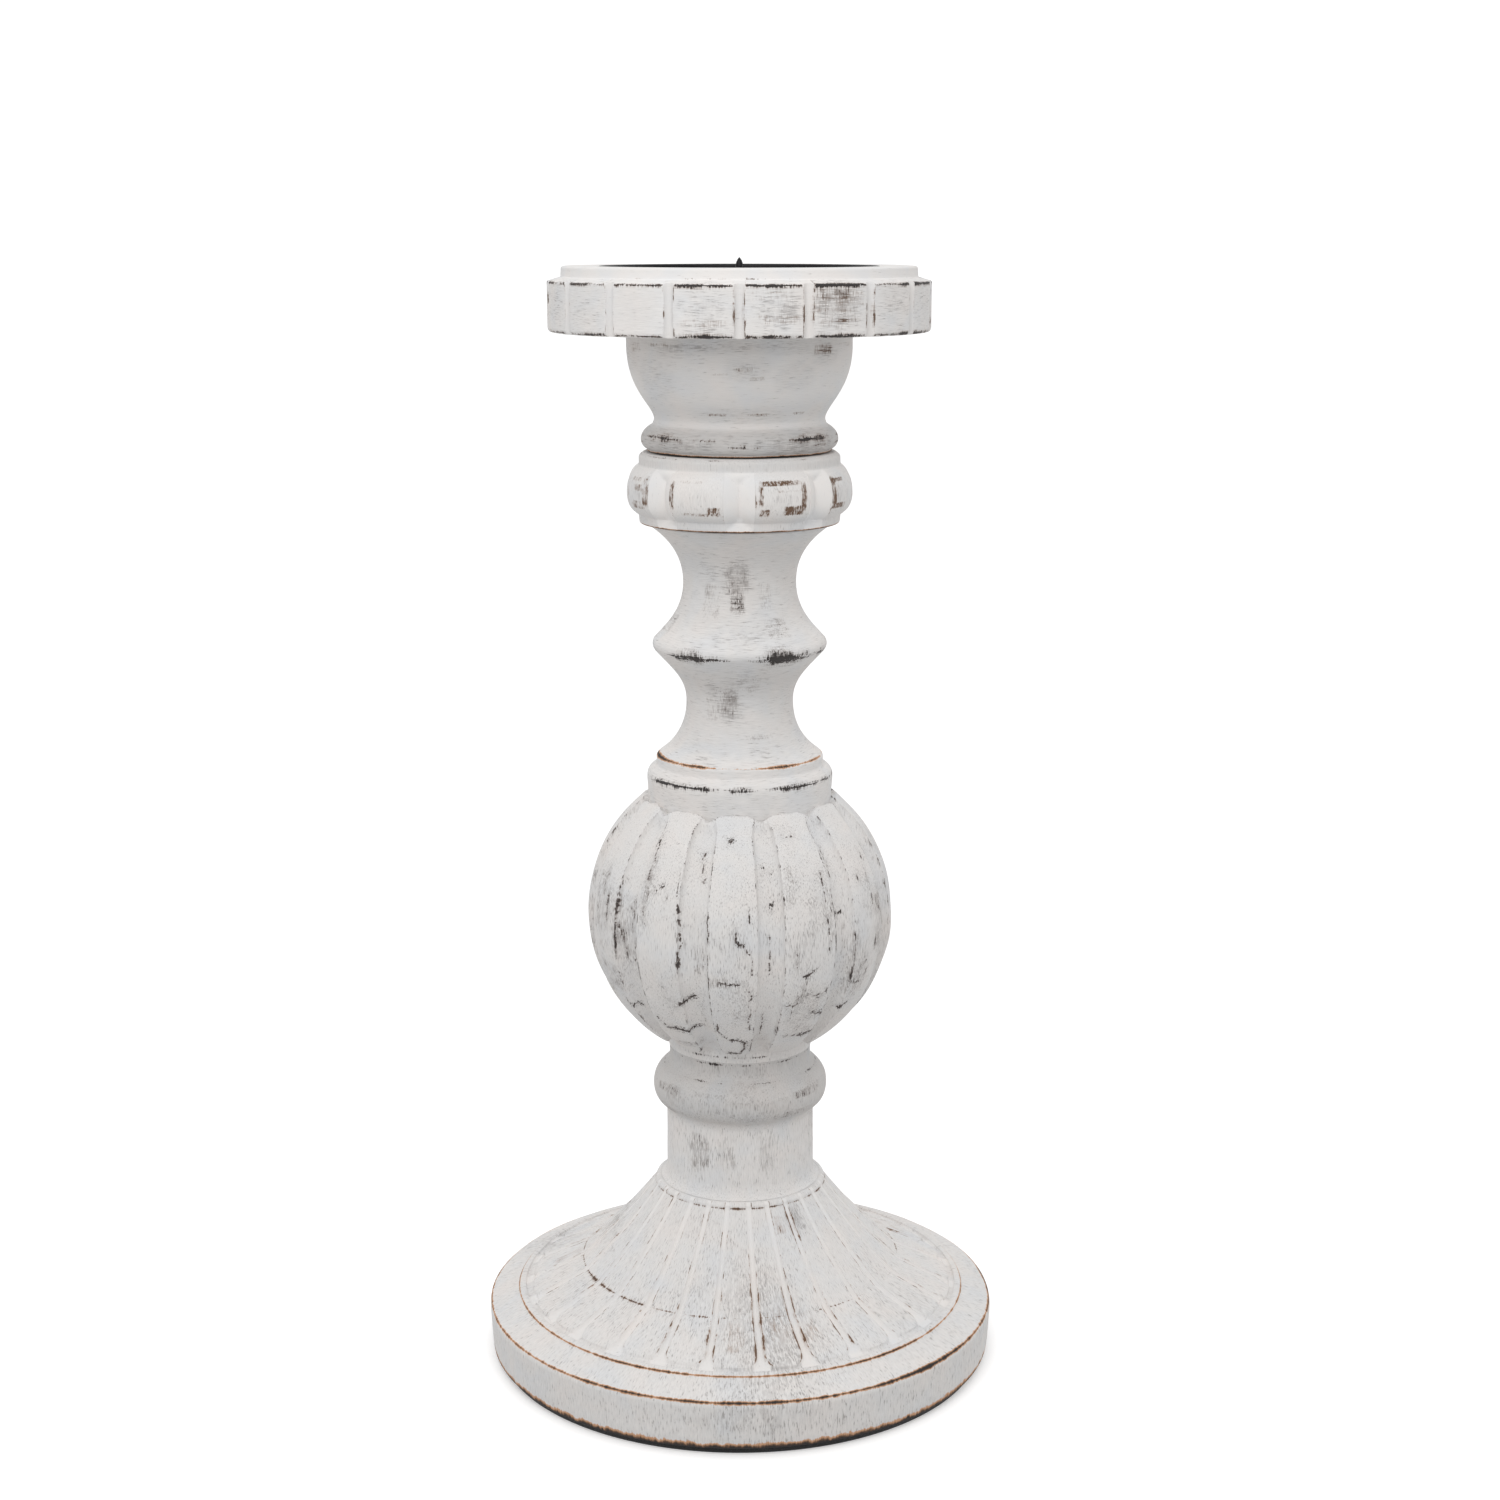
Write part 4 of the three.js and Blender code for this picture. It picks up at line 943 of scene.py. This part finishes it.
def make_cup():
    bottom = CUP_BOTTOM
    top = CUP_TOP
    skin = Skin(Outline(BORE, bottom - SPIGOT_LENGTH, 5.0).draw(
        (SPIGOT, bottom - SPIGOT_LENGTH, 0.5), (SPIGOT, bottom), (22.5, bottom), (0.3,),
        (24.1, bottom, 0.2), (24.3, bottom + 0.6, 0.2),
        (25.6, bottom + 1.1, 26.2, bottom + 2.9, 25.5, bottom + 4.3),
        (25.2, bottom + 5.0, 24.7, bottom + 5.6, 23.9, bottom + 6.2), (22.7, bottom + 7.0, 0.3),
        (22.3, bottom + 8.2, 0.4), (0.5,), (22.6, 261.6, 29.4, 265.5, 29.4, 277.0), (29.35, top, 0.3),
        (5.0,), (COUNTERBORE, top), (COUNTERBORE, top - COUNTERBORE_DEPTH),
        (BORE, top - COUNTERBORE_DEPTH),
    ), 240)
    height = skin.height
    lumpy = np.where(skin.radius > 20, ripple(skin.angle, height, 71, 0.045), 0)
    bare = skin.bare(
        [(3, 272, 8, 0.7, 0.5), (-9, 270.8, 6, 0.5, 0.5), (9, 269.6, 5, 0.6, 0.6), (46, 276.6, 8, 1.6, 0.7),
         (-44, 277.6, 10, 0.7, 0.5), (-14, 260.3, 8, 0.5, 0.6), (12, 260.3, 9, 0.5, 0.6),
         (40, 260.4, 6, 0.5, 0.5)], 76)
    # The patch at 277.5 mm, right under the plate across the front, greys the cup: partly rubbed paint,
    # partly painted shade under the plate.
    rub = skin.patches(
        [(4, 272, 14, 4, 0.6), (-50, 269, 20, 8, 0.25), (48, 276, 12, 4, 0.7), (-36, 277, 16, 3, 0.5),
         (30, 270, 16, 5, 0.3), (0, 277.5, 78, 2.5, 0.5), (0, 260, 40, 3, 0.35),
         (-40, bottom + 3, 50, 5, 0.8), (40, bottom + 3, 50, 5, 0.9)], 0.1, 75, 10, (258, 278), 0.5)
    lines = (
        (25.9, bottom + 2.6, 0.9, 72, 0.1, ((-52, 22, 0.15), (2, 12, 0.6), (52, 20, 0.2))),
        (25.5, bottom + 4.3, 1.3, 74, 0.1, ((-50, 34, 0.75), (-18, 12, 0.3), (46, 28, 0.85))),
    )
    burnt = ((24.05, bottom + 0.1, 0.45, 73, 0.85, ((-48, 20, 0.35), (30, 24, 0.2))),)
    # Painted shade: the cup is darker towards its foot, most in the lowest 7.5 mm.
    dull = 0.17 * smooth((bottom + 7.5 - height) / 2) + 0.08 * smooth((266 - height) / 6)
    skin.build("turned_cup", "cup", TURNED, skin.push(lumpy), lines, burnt, rub=rub, bare=bare, dull=dull)


# ---- plate

NOTCHES = 18
RECESS = 36.5
RECESS_FLOOR = PAN_BOTTOM - CLEARANCE


def make_plate():
    bottom = PLATE_BOTTOM
    shoulder = PLATE_TOP - 3.7
    step = PLATE_TOP - 2.7
    skin = Skin(Outline(5.0, bottom, 5.0).draw(
        (44.0, bottom), (0.6,), (PLATE_RADIUS - 0.5, bottom, 0.5),
        (PLATE_RADIUS - 0.02, bottom + 0.9, 0.4), (PLATE_RADIUS - 0.02, shoulder - 0.3, 0.25), (0.4,),
        (PLATE_RADIUS - 0.3, shoulder, 0.2), (46.0, step, 0.25), (45.85, PLATE_TOP - 0.35, 0.25),
        (45.4, PLATE_TOP - 0.02, 0.3), (0.9,), (RECESS + 0.5, PLATE_TOP - 0.02, 0.25),
        (RECESS, PLATE_TOP - 0.5, 0.25), (4.0,), (RECESS, RECESS_FLOOR), (5.0, RECESS_FLOOR),
    ))
    radius, height = skin.radius, skin.height
    centres = jittered(NOTCHES, 0, 0.018, 81)
    middle = (bottom + shoulder) / 2
    level = np.clip(np.abs(height - middle) / (shoulder - bottom) * 2, 0, 1)
    half = np.tile(1.15 + 0.25 * level ** 2, (1, NOTCHES))
    angle, place, edge = carved_columns(centres, half, np.maximum(radius, 20), 10, 20)
    skin.angle = angle
    edge = np.where(radius > 45, edge, FAR)
    wall = (radius > 46.5) & (height < step)
    deep = 1.15 + 0.15 * level ** 2
    q = np.where(place < FAR, np.abs(place), 1.0)
    cut = np.where(place < FAR, PLATE_RADIUS - deep * (1 - q ** 2) ** 0.7, 99.0)
    lumpy = np.where((radius > 37.5) & (radius < 49.55), ripple(angle, height, 82, 0.03), 0)
    new_height = height + skin.up * np.minimum(lumpy, 0.015)
    worn_in = np.where(wall, 0.12 * np.exp(-np.maximum(edge, 0) / 0.7), 0)
    new_radius = radius - worn_in
    new_radius = np.where(wall, np.minimum(new_radius, cut), new_radius)

    bare = skin.bare(
        [(27, 291.0, 8, 2.0, 0.6), (33, 289.6, 6, 2.4, 0.42), (29, 284.6, 9, 0.6, 0.55),
         (27, 287, 9, 0.5, 0.5), (9, 290.6, 8, 1.6, 0.32), (11, 284.8, 8, 1.6, 0.32),
         (-10, 283.8, 8, 1.2, 0.4), (29, 287, 9, 6, 0.28)], 88)
    panels = ((29, 10, 1.0), (10, 10, 0.55), (-10, 10, 0.5), (-30, 10, 0.12), (-49, 10, 0.35),
              (-68, 12, 0.45), (50, 10, 0.5), (68, 12, 0.4))
    spots = [(centre, 287, half_angle + 2, 9, amount) for centre, half_angle, amount in panels]
    spots += [(-8, 282, 12, 3, 0.5), (14, 288, 5, 6, 0.3), (29, 290, 11, 4, 0.4)]
    rub = skin.patches(spots, 0.12, 86, 12, (282, 292), 0.7)
    gain = skin.patches([(20, 287, 7, 8, 0.4), (0, 287, 6, 8, 0.35), (40, 287, 6, 8, 0.4),
                         (-20, 287, 4, 8, 0.15)], 0.28, 87, 10, (282, 292), 0.3)
    lines = (
        (PLATE_RADIUS - 0.2, shoulder - 0.4, 0.8, 83, 0.62,
         ((29, 14, 0.65), (-12, 16, 0.35), (62, 18, 0.3), (8, 12, 0.35), (-60, 20, 0.1))),
        (PLATE_RADIUS - 0.4, bottom + 0.5, 0.75, 84, 0.58,
         ((29, 12, 0.6), (-10, 12, 0.5), (60, 20, 0.35), (8, 8, 0.2), (-48, 10, 0.2))),
        (45.85, step + 0.1, 0.8, 85, 0.05, ((0, 60, 0.12),)),
    )
    # Painted shade: the notches in the rim are darkened a little, and the raised ring on top a little less.
    dull = np.where(wall & (edge < 0.0), 0.07, np.where(height > step, 0.05, 0.0))
    skin.build("notched_plate", "plate", TURNED, (new_radius, new_height), lines, (),
               np.where(edge < 0.1, 0.0, 1.0), 40, rub=np.where((edge < 0.0) | ~wall, 0.03, rub),
               edge_mm=edge, edge_rub=np.where(wall, gain, 0), dull=dull,
               bare=np.where((edge > 0.1) & wall, bare, 0))


# ---- pan, spike and pad

def black_iron():
    n = new_material("black_iron_coating")
    place = n.place()
    grain = n.noise(place, 3.2, 4.0, 0.6)
    broad = n.noise(place, 0.12, 2.0)
    colour = n.ramp(grain * 0.6 + broad * 0.4,
                    [(0.35, grey(0.008, 0.001, 0.001)), (0.7, grey(0.026, 0.0, 0.002))])
    return n.finish(colour, n.band(grain, 0.3, 0.7, 0.42, 0.6), n.bump(grain, 0.00006), 0.6)


def felt():
    n = new_material("black_felt")
    place = n.place()
    fibre = n.noise(place, 4.5, 5.0, 0.7, 1.2)
    matted = n.noise(place, 0.5, 3.0)
    colour = n.ramp(fibre * 0.7 + matted * 0.3, [(0.35, grey(0.006)), (0.7, grey(0.03, 0.0, 0.002))])
    sheen = {"Sheen Weight": 0.25, "Sheen Roughness": 0.6}
    roughness = n.band(fibre, 0.3, 0.7, 0.88, 1.0)
    return n.finish(colour, roughness, n.bump(fibre, 0.0003), specular=0.15, **sheen)


def plated(name, low, high, roughness_low, roughness_high):
    """Plated steel with fine scratches and a little clouding."""
    n = new_material(name)
    place = n.place()
    scratch = n.noise(n.stretch(place, 1.0, 1.0, 0.08), 5.0, 3.0, 0.6)
    mixed = scratch * 0.5 + n.noise(place, 0.6, 3.0) * 0.5
    colour = n.ramp(mixed, [(0.35, low), (0.65, high)])
    roughness = n.band(mixed, 0.35, 0.65, roughness_low, roughness_high)
    return n.finish(colour, roughness, n.bump(scratch, 0.00003), 1.0)


IRON = black_iron()
FELT = felt()
ZINC = plated("zinc_plate", (0.42, 0.43, 0.45, 1), (0.60, 0.61, 0.63, 1), 0.28, 0.42)
BRASSED = plated("yellow_passivated_zinc", (0.48, 0.36, 0.15, 1), (0.66, 0.52, 0.25, 1), 0.26, 0.4)


def make_pan():
    floor = PAN_BOTTOM + 1.0
    wall = PAN_RADIUS
    skin = Skin(Outline(1.25, PAN_BOTTOM, 1.5).draw(
        (3.0, PAN_BOTTOM), (wall - 2.4, PAN_BOTTOM), (0.5,), (wall, PAN_BOTTOM, wall, PAN_BOTTOM + 2.4),
        (wall, PAN_TOP - 0.4, 0.2), (wall - 0.05, PAN_TOP, wall - 0.5, PAN_TOP),
        (wall - 0.95, PAN_TOP, wall - 1.0, PAN_TOP - 0.5), (wall - 1.0, floor + 1.8),
        (wall - 1.0, floor, wall - 2.8, floor), (1.2,), (24.0, floor),
        (22.6, floor, 22.2, floor - 0.35), (21.8, floor - 0.6, 20.9, floor - 0.6), (4.2, floor - 0.6),
        (0.4,), (3.4, floor - 0.6, 2.9, floor - 0.1), (2.5, floor + 0.15, 1.9, floor + 0.15),
        (1.25, floor),
    ), 180)
    radius, height = skin.radius, skin.height
    flat = (height > floor - 0.7) & (radius < wall - 4) & (radius > 6)
    dent = np.where(flat, ripple(skin.angle, radius, 91, 0.03), 0)
    piece = make_piece("sheet_iron_pan", radius, height + dent, skin.angle, {})
    dress(piece, "drip_pan", IRON)


def make_solid(name, outline, columns, node, material):
    """A piece turned without a bore; its two ends close on the axis."""
    skin = Skin(outline, columns)
    piece = make_piece(name, skin.radius, skin.height, skin.angle, {})
    weld(piece)
    dress(piece, node, material)


def weld(piece):
    """Merges the points that meet on the axis and drops the empty faces there."""
    work = bmesh.new()
    work.from_mesh(piece.data)
    axis = [face for face in work.faces
            if all(math.hypot(v.co.x, v.co.y) < 1e-7 for v in face.verts)]
    bmesh.ops.delete(work, geom=axis, context="FACES")
    loose = [v for v in work.verts if not v.link_faces]
    bmesh.ops.delete(work, geom=loose, context="VERTS")
    bmesh.ops.remove_doubles(work, verts=work.verts, dist=1e-7)
    work.to_mesh(piece.data)
    work.free()


def make_spike():
    head = SPIKE_BOTTOM
    path = Outline(0.0, head, 0.4).draw(
        (2.6, head), (3.0, head, 3.0, head + 0.4), (3.0, head + 0.9),
        (3.0, head + 1.2, 2.6, head + 1.2), (1.25, head + 1.2), (0.95, head + 1.25, 0.95, head + 1.8),
        (0.95, SPIKE_TIP - 2.1), (0.95, SPIKE_TIP - 1.0, 0.4, SPIKE_TIP - 0.4, 0.12, SPIKE_TIP - 0.05),
        (0.0, SPIKE_TIP),
    )
    make_solid("pricket_spike", path, 32, "spike", IRON)


def make_pad():
    edge = PAD_RADIUS - 0.05
    inside = PAD_RADIUS - 0.5
    path = Outline(0.0, PAD_BOTTOM, 2.5).draw(
        (inside, PAD_BOTTOM), (0.25,), (edge, PAD_BOTTOM, edge, PAD_BOTTOM + 0.5),
        (edge, PAD_TOP - 0.4), (edge, PAD_TOP, inside, PAD_TOP), (2.5,), (0.0, PAD_TOP),
    )
    make_solid("felt_pad", path, 240, "base_pad", FELT)


for make in (make_base, make_lower_stem, make_ball, make_upper_stem, make_band, make_cup, make_plate,
             make_pan, make_spike, make_pad):
    make()

for node in ("tie_rod", "bottom_washer", "bottom_nut", "top_washer", "top_nut",
             *(f"plate_screw_{i + 1}" for i in range(4))):
    for slot in bpy.data.objects[node].material_slots:
        slot.material = BRASSED if node.startswith("plate_screw") else ZINC


# ---- stage, light and camera

def make_floor():
    mesh = bpy.data.meshes.new("studio_floor")
    reach = 80.0
    corners = [(-reach, -reach, 0), (reach, -reach, 0), (reach, reach, 0), (-reach, reach, 0)]
    mesh.from_pydata(corners, [], [(0, 1, 2, 3)])
    floor = bpy.data.objects.new("studio_floor", mesh)
    bpy.context.collection.objects.link(floor)
    n = new_material("studio_paper")
    glow = {"Emission Color": (1, 1, 1, 1), "Emission Strength": 0.32}
    tooth = n.bump(n.noise(n.place(), 0.4), 0.00002)
    floor.data.materials.append(n.finish(grey(0.93), 0.9, tooth, specular=0.1, **glow))
    floor.visible_diffuse = False


def add_softbox():
    data = bpy.data.lights.new("softbox", "AREA")
    data.shape = "DISK"
    data.size = 0.4
    data.energy = 0.95
    light = bpy.data.objects.new("softbox", data)
    bpy.context.collection.objects.link(light)
    light.location = (-0.05, -0.40, 0.52)
    towards = Vector((0, 0, 0.2)) - light.location
    light.rotation_euler = towards.to_track_quat("-Z", "Y").to_euler()


def make_camera():
    tilt = math.radians(12.0)
    aside = math.radians(0.2465)
    data = bpy.data.cameras.new("camera")
    data.sensor_width = 36.0
    data.lens = 58.56
    data.clip_start = 0.01
    camera = bpy.data.objects.new("camera", data)
    bpy.context.collection.objects.link(camera)
    centre_x = (cad_bounds[0][0] + cad_bounds[1][0]) / 2
    centre_y = (cad_bounds[0][1] + cad_bounds[1][1]) / 2
    camera.location = (centre_x, centre_y - 0.640, 0.3055)
    camera.rotation_euler = (math.pi / 2 - tilt, 0, -aside)
    bpy.context.scene.camera = camera


def make_world():
    """White at the horizon, a little dimmer overhead, and darker below, which shades undersides."""
    world = bpy.data.worlds.new("white_surround")
    n = Nodes(world)
    _, y, z = n.split(n.node("TexCoord", None, "Generated"))
    brightness = ((0.0, 0.56), (0.46, 0.56), (0.49, 1.0), (0.545, 1.0), (0.62, 0.74), (1.0, 0.8))
    colour = n.ramp(n.math("MULTIPLY_ADD", z, 0.5, 0.5), [(spot, grey(value)) for spot, value in brightness])

    # The wall in front of the candlestick is dimmer than those beside and behind it.
    strength = n.band(y, -0.9, 0.3, 0.86, 1.20, "LINEAR")
    surround = n.node("Background", {"Color": colour, "Strength": strength})

    # Seen directly, the surround is plain white.
    white = n.node("Background", {"Color": grey(1.0), "Strength": 1.1})
    seen = n.node("LightPath", None, "Is Camera Ray")
    result = n.node("MixShader", {0: seen, 1: surround, 2: white})
    n.put(n.tree.nodes["World Output"].inputs["Surface"], result)
    bpy.context.scene.world = world


make_floor()
add_softbox()
make_camera()
make_world()
bpy.context.scene.view_settings.view_transform = "Standard"
